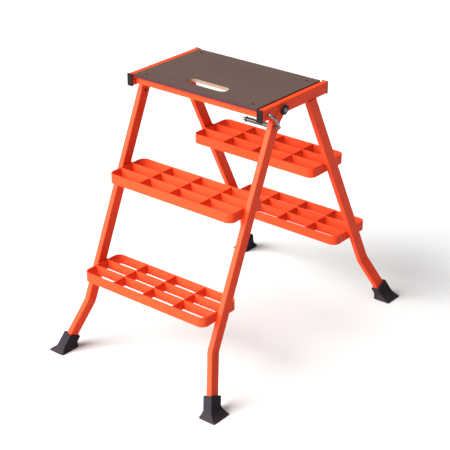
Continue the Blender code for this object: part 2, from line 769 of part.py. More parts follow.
def lock_parts():
    """The bent rod, its spring, washer and clip, on the right front leg."""
    low = Vector((0, PLATFORM_Y + LOCK_LEG_Y, LOCK_LEG_Z))
    high = Vector((0, PLATFORM_Y + LOCK_RAIL_Y, LOCK_RAIL_Z))
    span = high - low
    up = span.normalized()
    tip_x = RAIL_OUTER_X - ROD_TIP_ENGAGED
    top_bend = ROD_OUTER_X - RAIL_OUTER_X
    bends = [(ROD_INNER_X, 0.0)]
    bends += arc((ROD_OUTER_X - ROD_LOW_BEND, ROD_LOW_BEND), ROD_LOW_BEND, -math.pi / 2, 0, 6)
    bends += arc((ROD_OUTER_X - top_bend, span.length - top_bend), top_bend, 0, math.pi / 2, 10)
    bends.append((tip_x, span.length))
    points = [Vector((x, 0, 0)) + low + up * h for x, h in bends]
    add_object("lock_pin", rod_curve("lock_pin", points, ROD_R, 4), BRIGHT_ROD)

    along_x = Matrix.Rotation(math.pi / 2, 4, "Y")
    for name, start, radius, thickness in (
        ("lock_washer", LOCK_WASHER_X, LOCK_WASHER_R, LOCK_WASHER_THICKNESS),
        ("lock_clip", LOCK_WASHER_X - GAP - LOCK_CLIP_THICKNESS, LOCK_CLIP_R, LOCK_CLIP_THICKNESS),
    ):
        hole = ROD_R + SLIP
        profile = [(radius, thickness), (radius, 0), (hole, 0), (hole, thickness)]
        place = Matrix.Translation((start, low.y, low.z)) @ along_x
        turned(name, profile, BLACK_STEEL, place, 28)

    start = LOCK_WASHER_X + LOCK_WASHER_THICKNESS + GAP + SPRING_WIRE_R
    end = FRONT_LEG_OUTER_X - TUBE_WIDTH - GAP - SPRING_WIRE_R
    count = SPRING_TURNS * SPRING_STEPS
    coil = []
    for i in range(count + 1):
        t = i / count
        angle = 2 * math.pi * SPRING_TURNS * t
        coil.append(
            (
                start + (end - start) * t,
                low.y + SPRING_MEAN_R * math.cos(angle),
                low.z + SPRING_MEAN_R * math.sin(angle),
            )
        )
    add_object("lock_spring", rod_curve("lock_spring", coil, SPRING_WIRE_R, 1), ZINC)


def main():
    """Adds every piece of the trestle."""
    places = []
    for label, y in (
        ("front", BOARD_FRONT + SCREW_INSET),
        ("rear", BOARD_REAR - SCREW_INSET),
    ):
        for side, sign in SIDES:
            places.append((f"board_screw_{label}_{side}", sign * SCREW_X, PLATFORM_Y + y))
    top_board([(x, y) for _, x, y in places])
    rails = {
        "front": cross_rail("cross_rail_front", BOARD_FRONT + CROSS_RAIL_INSET, 1),
        "rear": cross_rail("cross_rail_rear", BOARD_REAR - CROSS_RAIL_INSET, -1),
    }
    for name, x, y in places:
        board_screw(name, x, y)
        hole = cylinder_mesh(f"{name}_hole", SCREW_SHANK_R + 0.0004, 0.008, 16)
        place = Matrix.Translation((x, y, BOARD_BOTTOM - 0.006))
        cut(rails[name.split("_")[2]], add_cutter(f"{name}_hole", hole, place))
    for side, sign in SIDES:
        end_rail(f"end_rail_{side}", sign)
        end_cap(f"end_cap_front_{side}", sign, -1)
        end_cap(f"end_cap_rear_{side}", sign, 1)
        rear_leg(f"rear_leg_{side}", sign)
        front_leg(f"front_leg_{side}", sign)
        for frame in FRAMES:
            foot(f"{frame.name}_foot_{side}", frame, sign)
        bolt_parts(side, sign)
    for frame in FRAMES:
        for label, top in zip(STEP_NAMES, frame.step_tops):
            step(frame, label, top)
    lock_parts()


clear_scene()
parts = new_collection("sawhorse")
cutters = new_collection("cutters")
main()
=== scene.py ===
"""Finished visual model of a folding two-sided step trestle, dressed round its solid frame."""

import json
import logging
import math
from collections.abc import Sequence
from dataclasses import dataclass, field
from enum import Enum

import bpy
import numpy as np
from mathutils import Euler, Matrix, Vector
from numpy.typing import NDArray

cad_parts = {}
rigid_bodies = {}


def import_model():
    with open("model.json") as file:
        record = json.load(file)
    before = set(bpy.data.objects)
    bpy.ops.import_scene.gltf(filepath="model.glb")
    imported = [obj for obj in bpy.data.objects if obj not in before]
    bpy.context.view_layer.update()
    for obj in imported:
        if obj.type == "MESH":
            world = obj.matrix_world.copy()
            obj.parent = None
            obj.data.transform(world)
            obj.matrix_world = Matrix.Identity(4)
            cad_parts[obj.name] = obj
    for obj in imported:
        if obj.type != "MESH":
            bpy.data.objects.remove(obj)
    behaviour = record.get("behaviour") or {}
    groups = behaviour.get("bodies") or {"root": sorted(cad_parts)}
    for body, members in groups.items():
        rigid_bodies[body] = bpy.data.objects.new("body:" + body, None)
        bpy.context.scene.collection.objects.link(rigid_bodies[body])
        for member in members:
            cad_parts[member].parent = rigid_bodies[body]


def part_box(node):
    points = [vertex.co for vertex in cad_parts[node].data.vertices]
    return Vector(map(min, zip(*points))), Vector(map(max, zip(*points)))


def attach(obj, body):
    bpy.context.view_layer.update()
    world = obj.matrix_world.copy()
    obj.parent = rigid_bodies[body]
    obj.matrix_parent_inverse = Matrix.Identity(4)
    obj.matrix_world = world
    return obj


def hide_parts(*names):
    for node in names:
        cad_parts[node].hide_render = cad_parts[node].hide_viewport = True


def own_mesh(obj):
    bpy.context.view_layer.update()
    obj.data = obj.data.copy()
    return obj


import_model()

Array = NDArray[np.float64]
Indices = NDArray[np.int64]
Colour = tuple[float, float, float]
Box = tuple[Array, Array]

SMOOTH_ANGLE = math.radians(32)

log = logging.getLogger("trestle")


class Side(Enum):
    """The trestle's two ends."""

    LEFT = -1
    RIGHT = 1

    @property
    def label(self) -> str:
        """The side's word in node names."""
        return self.name.lower()


class Slot(Enum):
    """The record's material slots."""

    PAINT = "orange_paint"
    FILM = "board_film"
    PLASTIC = "black_plastic"
    RUBBER = "black_rubber"
    BLACK_STEEL = "black_steel"
    ZINC = "zinc_steel"
    ROD = "bright_rod"


class Body(Enum):
    """The frame's moving bodies."""

    PLATFORM = "platform"
    FRONT = "front_frame"
    PIN = "lock_pin"


# Surfaces


@dataclass(frozen=True)
class Shell:
    """A closed surface: points (n, 3), quads (k, 4) and triangles (m, 3)."""

    points: Array
    quads: Indices
    tris: Indices

    def facing_out(self) -> "Shell":
        """Turns every face round if the enclosed volume is negative.

        The volume is the sum over triangles of a . (b x c) / 6, each quad counting as two.

        Returns:
            The shell with its faces pointing outwards.
        """
        halves = [self.quads[:, [0, 1, 2]], self.quads[:, [0, 2, 3]], self.tris]
        a, b, c = np.moveaxis(self.points[np.concatenate(halves)], 1, 0)
        if np.einsum("ij,ij->i", a, np.cross(b, c)).sum() >= 0:
            return self
        return Shell(self.points, self.quads[:, ::-1], self.tris[:, ::-1])


def skin(rings: Array, wrap: bool = False) -> Shell:
    """Surface through rings: face (i, j) joins rings i and i + 1 at points j and j + 1.

    Args:
        rings: Points (k, n, 3), each ring closed onto itself.
        wrap: True joins the last ring to the first; otherwise each end closes on its ring's mean.

    Returns:
        The closed shell.
    """
    rows, count = rings.shape[:2]
    i, j = np.meshgrid(np.arange(rows if wrap else rows - 1), np.arange(count), indexing="ij")
    i2, j2 = (i + 1) % rows, (j + 1) % count
    corners = (i * count + j, i * count + j2, i2 * count + j2, i2 * count + j)
    quads = np.stack(corners, -1).reshape(-1, 4)
    points = rings.reshape(-1, 3)
    tris = np.empty((0, 3), np.int64)
    if not wrap:
        points = np.concatenate([points, [rings[0].mean(0), rings[-1].mean(0)]])
        here = np.arange(count)
        after = (here + 1) % count
        last = (rows - 1) * count
        low = np.stack([after, here, np.full(count, rows * count)], -1)
        high = np.stack([last + here, last + after, np.full(count, rows * count + 1)], -1)
        tris = np.concatenate([low, high])
    return Shell(points, quads, tris).facing_out()


def rounded_rectangle(
    width: float, height: float, radius: float, corner: int = 5, flats: int = 1
) -> Array:
    """Outline of quarter circles c + r (cos a, sin a), joined by straight sides.

    A point close to each end of a side keeps the side's shading flat.

    Args:
        width: Size along the first axis.
        height: Size along the second axis.
        radius: Corner radius.
        corner: Steps in each quarter circle.
        flats: Steps in each straight side.

    Returns:
        Points (n, 2), anticlockwise.
    """
    radius = min(radius, 0.49 * width, 0.49 * height)
    signs = np.array([(1, 1), (-1, 1), (-1, -1), (1, -1)])
    centres = signs * (width / 2 - radius, height / 2 - radius)
    angles = (np.arange(4)[:, None] + np.linspace(0, 1, corner + 1)) * np.pi / 2
    arcs = centres[:, None] + radius * np.stack([np.cos(angles), np.sin(angles)], -1)
    ends, following = arcs[:, -1:], np.roll(arcs, -1, 0)[:, :1]
    held = (0.02, *np.linspace(0, 1, flats + 1)[1:-1], 0.98)
    sides = ends + (following - ends) * np.array(held)[:, None]
    return np.concatenate([arcs, sides], 1).reshape(-1, 2)


def carried(profile: Array, path: Array, across: Array, up: Array) -> Array:
    """Profile carried along a path: ring i is path[i] + u across[i] + v up[i].

    Args:
        profile: Outline points (n, 2) or one outline for each path point (k, n, 2).
        path: Points (k, 3).
        across: Direction of u, one (3,) or one for each path point (k, 3).
        up: Direction of v, one (3,) or one for each path point (k, 3).

    Returns:
        Rings (k, n, 3).
    """
    across = np.broadcast_to(across, path.shape)[:, None]
    up = np.broadcast_to(up, path.shape)[:, None]
    return path[:, None] + profile[..., :1] * across + profile[..., 1:] * up


def unit(vectors: Array) -> Array:
    """Vectors scaled to length 1, along the last axis."""
    return vectors / np.linalg.norm(vectors, axis=-1, keepdims=True)


def round_tube(path: Array, radius: float | Array, guide: Array, sides: int) -> Array:
    """Circles of the given radius square to a path.

    With tangent t and guide g, the circle's axes are a = g - (g . t) t, made unit, and b = t x a.

    Args:
        path: Points (k, 3).
        radius: One radius or one for each path point.
        guide: A direction never along the path, one or one for each path point.
        sides: Points in each circle.

    Returns:
        Rings (k, sides, 3).
    """
    tangent = unit(np.gradient(path, axis=0))
    guide = np.broadcast_to(guide, path.shape)
    across = unit(guide - np.sum(guide * tangent, -1, keepdims=True) * tangent)
    up = np.cross(tangent, across)
    angles = np.linspace(0, 2 * np.pi, sides, endpoint=False)
    circle = np.stack([np.cos(angles), np.sin(angles)], -1)
    reach = np.broadcast_to(radius, path.shape[:1])[:, None, None]
    return carried(circle * reach, path, across, up)


def polar(heights: Array, radii: Array, centre: Array, axis: Array, sides: int) -> Array:
    """Rings round an axis: centre + h axis + r (cos a, sin a) in the plane square to it.

    Args:
        heights: Distance of each ring along the axis, (k,).
        radii: Radius of each ring, (k,), or of each of its points, (k, sides).
        centre: Where the heights start from.
        axis: Unit direction.
        sides: Points in each ring.

    Returns:
        Rings (k, sides, 3).
    """
    first = np.array((0.0, 1.0, 0.0)) if abs(axis[1]) < 0.9 else np.array((1.0, 0.0, 0.0))
    second = np.cross(axis, first)
    angles = np.linspace(0, 2 * np.pi, sides, endpoint=False)
    spread = np.cos(angles)[:, None] * first + np.sin(angles)[:, None] * second
    radii = np.broadcast_to(radii[:, None] if radii.ndim == 1 else radii, (len(heights), sides))
    return centre + heights[:, None, None] * axis + radii[..., None] * spread


def hexagon(sides: int) -> Array:
    """Polar radius of a hexagon of corner radius 1: cos 30 / cos(a, folded to 30 from a flat)."""
    angles = np.linspace(0, 2 * np.pi, sides, endpoint=False)
    folded = np.mod(angles, np.pi / 3) - np.pi / 6
    return math.cos(math.pi / 6) / np.cos(folded)


def eased(start: float, end: float, count: int) -> Array:
    """Levels from start to end, closer together at both ends: start + span (1 - cos pi t) / 2."""
    share = (1 - np.cos(np.linspace(0, np.pi, count))) / 2
    return start + (end - start) * share


def bead(start: Array, end: Array, out: Array, radius: float, seed: int) -> Shell:
    """A weld bead: a tube whose radius swells once for each drop of metal and tapers at both ends.

    The radius is r (0.84 + 0.16 |sin(pi s / pitch)|) (1 - |2t - 1|^6)^(1/2), s metres along it,
    and the path wanders by a few tenths of a millimetre.

    Args:
        start: One end of the seam.
        end: The other end.
        out: A direction across the seam, away from the metal.
        radius: Half the bead's width.
        seed: Which wander it has.

    Returns:
        The closed shell.
    """
    length = float(np.linalg.norm(end - start))
    share = np.linspace(0, 1, max(10, int(length / 0.00035)))
    rng = np.random.default_rng(seed)
    phase = rng.uniform(0, 2 * np.pi, 3)
    sway = np.sin(share * length * 900 + phase[0]) + 0.6 * np.sin(share * length * 2300 + phase[1])
    path = start + (end - start) * share[:, None] + out * (sway * radius * 0.10)[:, None]
    ripple = 0.84 + 0.16 * np.abs(np.sin(np.pi * share * length / (radius * 1.15) + phase[2]))
    taper = np.sqrt(np.clip(1 - np.abs(2 * share - 1) ** 6, 0.01, 1))
    return skin(round_tube(path, radius * ripple * taper, out, 10))


def blob(centre: Array, radii: Array, seed: int) -> Shell:
    """A weld dot: an ellipsoid of centre + radii (sin b cos a, sin b sin a, cos b), a little lumpy.

    Args:
        centre: Its middle.
        radii: Half sizes along the three axes.
        seed: Which lumps it has.

    Returns:
        The closed shell.
    """
    rng = np.random.default_rng(seed)
    down = np.linspace(0.12, np.pi - 0.12, 8)[:, None]
    round_ = np.linspace(0, 2 * np.pi, 12, endpoint=False)[None]
    lump = 1 + 0.12 * np.cos(3 * round_ + rng.uniform(0, 6)) * np.sin(2 * down + rng.uniform(0, 6))
    ball = np.stack(
        [np.sin(down) * np.cos(round_), np.sin(down) * np.sin(round_), np.cos(down) + 0 * round_], -1
    )
    return skin(centre + ball * lump[..., None] * radii)


# Finishes


class Graph:
    """A material's node tree, with short calls for the nodes used here."""

    def __init__(self, name: str, colour: Colour, roughness: float, metallic: float = 0.0) -> None:
        """Starts a tree with one Principled shader.

        Args:
            name: The material's name.
            colour: Base colour where nothing is linked.
            roughness: Roughness where nothing is linked.
            metallic: How metallic it is.
        """
        self.material = bpy.data.materials.new(name)
        self.material.use_nodes = True
        self.material.diffuse_color = (*colour, 1.0)
        self.tree = self.material.node_tree
        self.tree.nodes.clear()
        output = self.tree.nodes.new("ShaderNodeOutputMaterial")
        self.shader = self.tree.nodes.new("ShaderNodeBsdfPrincipled")
        self.link(self.shader.outputs["BSDF"], output.inputs["Surface"])
        self.set("Base Color", (*colour, 1.0))
        self.set("Roughness", roughness)
        self.set("Metallic", metallic)
        self.place = self.tree.nodes.new("ShaderNodeTexCoord").outputs["Object"]

    def link(self, source: bpy.types.NodeSocket, target: bpy.types.NodeSocket) -> None:
        """Joins two sockets."""
        self.tree.links.new(source, target)

    def set(self, socket: str, value: float | tuple[float, ...]) -> None:
        """Gives a shader socket a constant."""
        self.shader.inputs[socket].default_value = value

    def feed(self, socket: str, source: bpy.types.NodeSocket) -> None:
        """Links a socket of the shader."""
        self.link(source, self.shader.inputs[socket])

    def stretched(self, scale: tuple[float, float, float]) -> bpy.types.NodeSocket:
        """Object coordinates scaled along each axis."""
        mapping = self.tree.nodes.new("ShaderNodeMapping")
        mapping.inputs["Scale"].default_value = scale
        self.link(self.place, mapping.inputs["Vector"])
        return mapping.outputs["Vector"]

    def noise(
        self,
        scale: float,
        detail: float = 3.0,
        stretch: tuple[float, float, float] = (1.0, 1.0, 1.0),
    ) -> bpy.types.NodeSocket:
        """Fractal noise on stretched object coordinates.

        Args:
            scale: Features in a metre.
            detail: Octaves.
            stretch: Extra scale along each axis.

        Returns:
            The value socket, from 0 to 1.
        """
        node = self.tree.nodes.new("ShaderNodeTexNoise")
        node.inputs["Scale"].default_value = scale
        node.inputs["Detail"].default_value = detail
        self.link(self.stretched(stretch), node.inputs["Vector"])
        return node.outputs["Fac"]

    def cells(self, scale: float) -> bpy.types.NodeSocket:
        """Distance to the nearest of scattered points, scale of them in a metre."""
        node = self.tree.nodes.new("ShaderNodeTexVoronoi")
        node.inputs["Scale"].default_value = scale
        self.link(self.place, node.inputs["Vector"])
        return node.outputs["Distance"]

    def part(self, source: bpy.types.NodeSocket, axis: str) -> bpy.types.NodeSocket:
        """One component of a vector socket."""
        node = self.tree.nodes.new("ShaderNodeSeparateXYZ")
        self.link(source, node.inputs[0])
        return node.outputs[axis]

    def normal(self) -> bpy.types.NodeSocket:
        """The face's own direction."""
        return self.tree.nodes.new("ShaderNodeNewGeometry").outputs["Normal"]

    def sum(
        self, operation: str, first: bpy.types.NodeSocket, second: bpy.types.NodeSocket | float
    ) -> bpy.types.NodeSocket:
        """A math node's result.

        Args:
            operation: The node's operation.
            first: First operand.
            second: Second operand, a socket or a number.

        Returns:
            The value socket.
        """
        node = self.tree.nodes.new("ShaderNodeMath")
        node.operation = operation
        self.link(first, node.inputs[0])
        if isinstance(second, float):
            node.inputs[1].default_value = second
        else:
            self.link(second, node.inputs[1])
        return node.outputs[0]

    def spread(
        self, source: bpy.types.NodeSocket, low: float, high: float, to: tuple[float, float] = (0.0, 1.0)
    ) -> bpy.types.NodeSocket:
        """A value between low and high mapped, within limits, to another range.

        Args:
            source: The value.
            low: Where the new range starts.
            high: Where it ends.
            to: The new range.

        Returns:
            The value socket.
        """
        node = self.tree.nodes.new("ShaderNodeMapRange")
        node.inputs["From Min"].default_value = low
        node.inputs["From Max"].default_value = high
        node.inputs["To Min"].default_value = to[0]
        node.inputs["To Max"].default_value = to[1]
        self.link(source, node.inputs["Value"])
        return node.outputs["Result"]

    def blend(
        self,
        share: bpy.types.NodeSocket,
        first: Colour | bpy.types.NodeSocket,
        second: Colour | bpy.types.NodeSocket,
    ) -> bpy.types.NodeSocket:
        """Mixes two colours.

        Args:
            share: How much of the second.
            first: Colour or socket.
            second: Colour or socket.

        Returns:
            The colour socket.
        """
        node = self.tree.nodes.new("ShaderNodeMix")
        node.data_type = "RGBA"
        self.link(share, node.inputs["Factor"])
        for socket, value in ((node.inputs[6], first), (node.inputs[7], second)):
            if isinstance(value, tuple):
                socket.default_value = (*value, 1.0)
            else:
                self.link(value, socket)
        return node.outputs[2]

    def bump(self, *layers: tuple[bpy.types.NodeSocket, float, float]) -> None:
        """Bump layers, one on another, into the shader's normal.

        Args:
            layers: Height socket, strength and distance in metres of each.
        """
        below = None
        for height, strength, distance in layers:
            node = self.tree.nodes.new("ShaderNodeBump")
            node.inputs["Strength"].default_value = strength
            node.inputs["Distance"].default_value = distance
            self.link(height, node.inputs["Height"])
            if below is not None:
                self.link(below, node.inputs["Normal"])
            below = node.outputs["Normal"]
        self.feed("Normal", below)


def shade(colour: Colour, factor: float) -> Colour:
    """The colour, lighter or darker by a factor."""
    return tuple(min(1.0, part * factor) for part in colour)


@dataclass(frozen=True)
class StovePaint:
    """Glossy stoved paint: fine orange peel, slow waves in the metal, dusty scuffs near the floor."""

    colour: Colour = (0.690, 0.050, 0.015)
    scuff: Colour = (0.820, 0.110, 0.060)
    peel: float = 1100.0
    waves: float = 55.0
    scuff_height: float = 0.16

    def build(self) -> bpy.types.Material:
        """The finish as a material."""
        graph = Graph("stove_paint", self.colour, 0.32)
        graph.set("Specular IOR Level", 0.05)
        drift = graph.spread(graph.noise(9.0, 4.0), 0.3, 0.7)
        tone = graph.blend(drift, shade(self.colour, 0.95), shade(self.colour, 1.04))
        grit = graph.spread(graph.noise(420.0, 6.0, (1.0, 1.0, 0.25)), 0.66, 0.74)
        height = graph.part(graph.place, "Z")
        low = graph.spread(height, self.scuff_height, 0.04)
        worn = graph.sum("MULTIPLY", grit, graph.sum("ADD", low, 0.05))
        graph.feed("Base Color", graph.blend(worn, tone, self.scuff))
        rough = graph.spread(graph.noise(70.0, 5.0), 0.3, 0.7, (0.25, 0.38))
        graph.feed("Roughness", rough)
        graph.bump(
            (graph.noise(self.waves, 2.0), 0.25, 0.0006),
            (graph.noise(self.peel, 2.0), 0.22, 0.0001),
        )
        return graph.material


@dataclass(frozen=True)
class FilmBoard:
    """Film-faced plywood: brown film with a fine pressed mesh, and sealed plies along its edges."""

    film: Colour = (0.066, 0.041, 0.034)
    fleck: Colour = (0.096, 0.066, 0.058)
    edge_dark: Colour = (0.034, 0.010, 0.012)
    edge_light: Colour = (0.062, 0.019, 0.023)
    mesh: float = 620.0
    ply: float = 0.0016

    def build(self) -> bpy.types.Material:
        """The finish as a material."""
        graph = Graph("film_board", self.film, 0.62)
        graph.set("Specular IOR Level", 0.16)
        cells = graph.cells(self.mesh)
        speck = graph.spread(graph.noise(1500.0, 2.0), 0.42, 0.66)
        drift = graph.spread(graph.noise(7.0, 4.0, (0.6, 1.6, 1.0)), 0.3, 0.7)
        ground = graph.blend(drift, shade(self.film, 0.90), shade(self.film, 1.10))
        dots = graph.sum("MULTIPLY", speck, graph.spread(cells, 0.10, 0.55))
        face = graph.blend(dots, ground, self.fleck)
        height = graph.part(graph.place, "Z")
        turns = graph.sum("MULTIPLY", height, 2 * math.pi / self.ply)
        wander = graph.sum("MULTIPLY", graph.noise(45.0, 3.0, (1.0, 1.0, 4.0)), 3.0)
        layer = graph.sum("SINE", graph.sum("ADD", turns, wander), 0.0)
        plies = graph.blend(graph.spread(layer, -0.5, 0.6), self.edge_dark, self.edge_light)
        facing = graph.sum("ABSOLUTE", graph.part(graph.normal(), "Z"), 0.0)
        top = graph.spread(facing, 0.35, 0.6)
        graph.feed("Base Color", graph.blend(top, plies, face))
        graph.feed("Roughness", graph.spread(graph.noise(60.0, 4.0), 0.3, 0.7, (0.56, 0.70)))
        graph.bump((cells, 0.30, 0.0002), (graph.noise(1500.0, 2.0), 0.15, 0.0001))
        return graph.material


@dataclass(frozen=True)
class Veneer:
    """Raw plywood showing in the sawn slot: pale and brown plies with streaks along them."""

    pale: Colour = (0.235, 0.150, 0.108)
    brown: Colour = (0.140, 0.072, 0.042)
    ply: float = 0.0018

    def build(self) -> bpy.types.Material:
        """The finish as a material."""
        graph = Graph("raw_plies", self.pale, 0.72)
        height = graph.part(graph.place, "Z")
        turns = graph.sum("MULTIPLY", height, 2 * math.pi / self.ply)
        wander = graph.sum("MULTIPLY", graph.noise(90.0, 3.0, (1.0, 1.0, 3.0)), 2.5)
        layer = graph.sum("SINE", graph.sum("ADD", turns, wander), 0.0)
        bands = graph.blend(graph.spread(layer, -0.2, 0.9), self.pale, self.brown)
        fibre = graph.spread(graph.noise(300.0, 4.0, (1.0, 1.0, 6.0)), 0.45, 0.75)
        graph.feed("Base Color", graph.blend(fibre, bands, shade(self.pale, 1.25)))
        graph.bump((graph.noise(700.0, 4.0, (0.4, 0.4, 3.0)), 0.35, 0.0002))
        return graph.material


@dataclass(frozen=True)
class Moulded:
    """Moulded black plastic or rubber: a fine eroded skin, and dust where it nears the floor."""

    name: str
    colour: Colour
    roughness: float
    dust: Colour = (0.036, 0.026, 0.022)
    dust_height: float = 0.0
    grain: float = 1300.0

    def build(self) -> bpy.types.Material:
        """The finish as a material."""
        graph = Graph(self.name, self.colour, self.roughness)
        graph.set("Specular IOR Level", 0.05)
        drift = graph.spread(graph.noise(120.0, 5.0), 0.3, 0.7)
        tone = graph.blend(drift, shade(self.colour, 0.80), shade(self.colour, 1.22))
        if self.dust_height > 0:
            height = graph.part(graph.place, "Z")
            low = graph.spread(height, self.dust_height, self.dust_height * 0.15)
            smear = graph.spread(graph.noise(85.0, 6.0, (1.0, 1.0, 2.2)), 0.44, 0.68)
            tone = graph.blend(graph.sum("MULTIPLY", low, smear), tone, self.dust)
        graph.feed("Base Color", tone)
        span = (self.roughness - 0.08, self.roughness + 0.08)
        graph.feed("Roughness", graph.spread(graph.noise(200.0, 4.0), 0.3, 0.7, span))
        graph.bump(
            (graph.noise(160.0, 3.0), 0.15, 0.0003),
            (graph.noise(self.grain, 2.0), 0.30, 0.0001),
        )
        return graph.material


@dataclass(frozen=True)
class Steel:
    """Bare, plated or blackened steel: drawn lines, cloudy patches and a few dull spots."""

    name: str
    colour: Colour
    roughness: float
    spots: Colour
    lines: tuple[float, float, float] = (0.05, 1.0, 1.0)

    def build(self) -> bpy.types.Material:
        """The finish as a material."""
        graph = Graph(self.name, self.colour, self.roughness, metallic=1.0)
        cloud = graph.spread(graph.noise(140.0, 5.0), 0.3, 0.7)
        tone = graph.blend(cloud, shade(self.colour, 0.82), shade(self.colour, 1.12))
        spots = graph.spread(graph.noise(480.0, 4.0), 0.60, 0.72)
        graph.feed("Base Color", graph.blend(spots, tone, self.spots))
        span = (self.roughness - 0.07, self.roughness + 0.13)
        graph.feed("Roughness", graph.spread(graph.noise(260.0, 5.0), 0.3, 0.7, span))
        graph.bump((graph.noise(2200.0, 3.0, self.lines), 0.25, 0.00008))
        return graph.material


class Paintbox:
    """Every finish, made once."""

    def __init__(self) -> None:
        """Builds the materials."""
        self.materials: dict[Slot, bpy.types.Material] = {
            Slot.PAINT: StovePaint().build(),
            Slot.FILM: FilmBoard().build(),
            Slot.PLASTIC: Moulded("cap_plastic", (0.015, 0.011, 0.012), 0.42).build(),
            Slot.RUBBER: Moulded(
                "foot_rubber", (0.019, 0.015, 0.020), 0.62, dust_height=0.030
            ).build(),
            Slot.BLACK_STEEL: Steel(
                "black_steel", (0.060, 0.055, 0.055), 0.38, (0.030, 0.026, 0.026)
            ).build(),
            Slot.ZINC: Steel("zinc_plate", (0.190, 0.178, 0.180), 0.44, (0.12, 0.11, 0.11)).build(),
            Slot.ROD: Steel("drawn_rod", (0.225, 0.200, 0.205), 0.32, (0.13, 0.11, 0.105)).build(),
        }
        self.veneer = Veneer().build()

    def dress(self, obj: bpy.types.Object, slot: Slot) -> None:
        """Gives an object one finish in place of what it had.

        Args:
            obj: A new piece or a carried-over node.
            slot: The finish's slot.
        """
        if not obj.material_slots:
            obj.data.materials.append(self.materials[slot])
        for place in obj.material_slots:
            place.link = "OBJECT"
            place.material = self.materials[slot]


class Bench:
    """Turns shells into finished pieces that ride on the frame."""

    def __init__(self, paints: Paintbox) -> None:
        """Keeps the finishes.

        Args:
            paints: The finishes to dress pieces with.
        """
        self.paints = paints

    def mesh(self, name: str, shells: Sequence[Shell]) -> bpy.types.Mesh:
        """One mesh from several shells, smooth except across sharp edges.

        Args:
            name: The mesh's name.
            shells: Closed shells, kept apart from each other.

        Returns:
            The mesh.
        """
        points = np.concatenate([shell.points for shell in shells])
        starts = np.cumsum([0] + [len(shell.points) for shell in shells])[:-1]
        quads = np.concatenate([s.quads + first for s, first in zip(shells, starts)])
        tris = np.concatenate([s.tris + first for s, first in zip(shells, starts)])
        corners = np.concatenate([quads.ravel(), tris.ravel()]).astype(np.int32)
        sizes = np.concatenate([np.full(len(quads), 4), np.full(len(tris), 3)])
        mesh = bpy.data.meshes.new(name)
        mesh.vertices.add(len(points))
        mesh.vertices.foreach_set("co", points.astype(np.float32).ravel())
        mesh.loops.add(len(corners))
        mesh.loops.foreach_set("vertex_index", corners)
        mesh.polygons.add(len(sizes))
        firsts = np.concatenate([[0], np.cumsum(sizes)[:-1]]).astype(np.int32)
        mesh.polygons.foreach_set("loop_start", firsts)
        mesh.update(calc_edges=True)
        mesh.validate()
        self.smooth(mesh)
        return mesh

    def smooth(self, mesh: bpy.types.Mesh) -> None:
        """Smooth shading, kept sharp where faces meet at more than the set angle."""
        mesh.shade_smooth()
        mesh.set_sharp_from_angle(angle=SMOOTH_ANGLE)

    def piece(
        self,
        name: str,
        shells: Sequence[Shell],
        slot: Slot,
        body: Body,
        stands_for: Sequence[str] = (),
        drills: Sequence[Shell] = (),
    ) -> bpy.types.Object:
        """A finished piece in its place.

        Args:
            name: The piece's name.
            shells: Its closed shells.
            slot: Its finish.
            body: The body that it rides on.
            stands_for: The frame's nodes that it replaces.
            drills: Shells to take out of it.

        Returns:
            The object.
        """
        mesh = self.mesh(name, shells)
        if drills:
            mesh = self.drilled(name, mesh, drills)
        obj = bpy.data.objects.new(name, mesh)
        bpy.context.scene.collection.objects.link(obj)
        self.paints.dress(obj, slot)
        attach(obj, body.value)
        if stands_for:
            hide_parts(*stands_for)
        log.info("%s: %d faces on %s", name, len(mesh.polygons), body.value)
        return obj

    def drilled(
        self, name: str, mesh: bpy.types.Mesh, drills: Sequence[Shell]
    ) -> bpy.types.Mesh:
        """The mesh with shells taken out of it.

        Args:
            name: The mesh's name.
            mesh: What is drilled.
            drills: Closed shells that don't touch each other.

        Returns:
            The new mesh.
        """
        block = bpy.data.objects.new(f"{name}_block", mesh)
        tool = bpy.data.objects.new(f"{name}_tool", self.mesh(f"{name}_tool", drills))
        for obj in (block, tool):
            bpy.context.scene.collection.objects.link(obj)
        cut = block.modifiers.new("drill", "BOOLEAN")
        cut.operation = "DIFFERENCE"
        cut.object = tool
        bpy.context.view_layer.update()
        done = bpy.data.meshes.new_from_object(
            block.evaluated_get(bpy.context.evaluated_depsgraph_get())
        )
        for obj in (block, tool):
            bpy.data.objects.remove(obj, do_unlink=True)
        done.name = name
        self.smooth(done)
        return done

    def keep(self, node: str, slot: Slot) -> None:
        """Dresses a node of the frame that stays in sight.

        Args:
            node: The node's name.
            slot: Its finish.
        """
        for obj in bpy.context.scene.objects:
            if obj.name == node:
                self.paints.dress(obj, slot)
                log.info("%s: kept, in %s", node, slot.value)


def span(node: str) -> Box:
    """A node's lowest and highest corner as arrays."""
    low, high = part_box(node)
    return np.array(low), np.array(high)


def drill_x(centre: Array, radius: float, half: float) -> Shell:
    """A cylinder along x for drilling: radius r between centre - half and centre + half."""
    heights = np.array((-half, half))
    return skin(polar(heights, np.array((radius, radius)), centre, np.array((1.0, 0.0, 0.0)), 40))


# Sub-assemblies


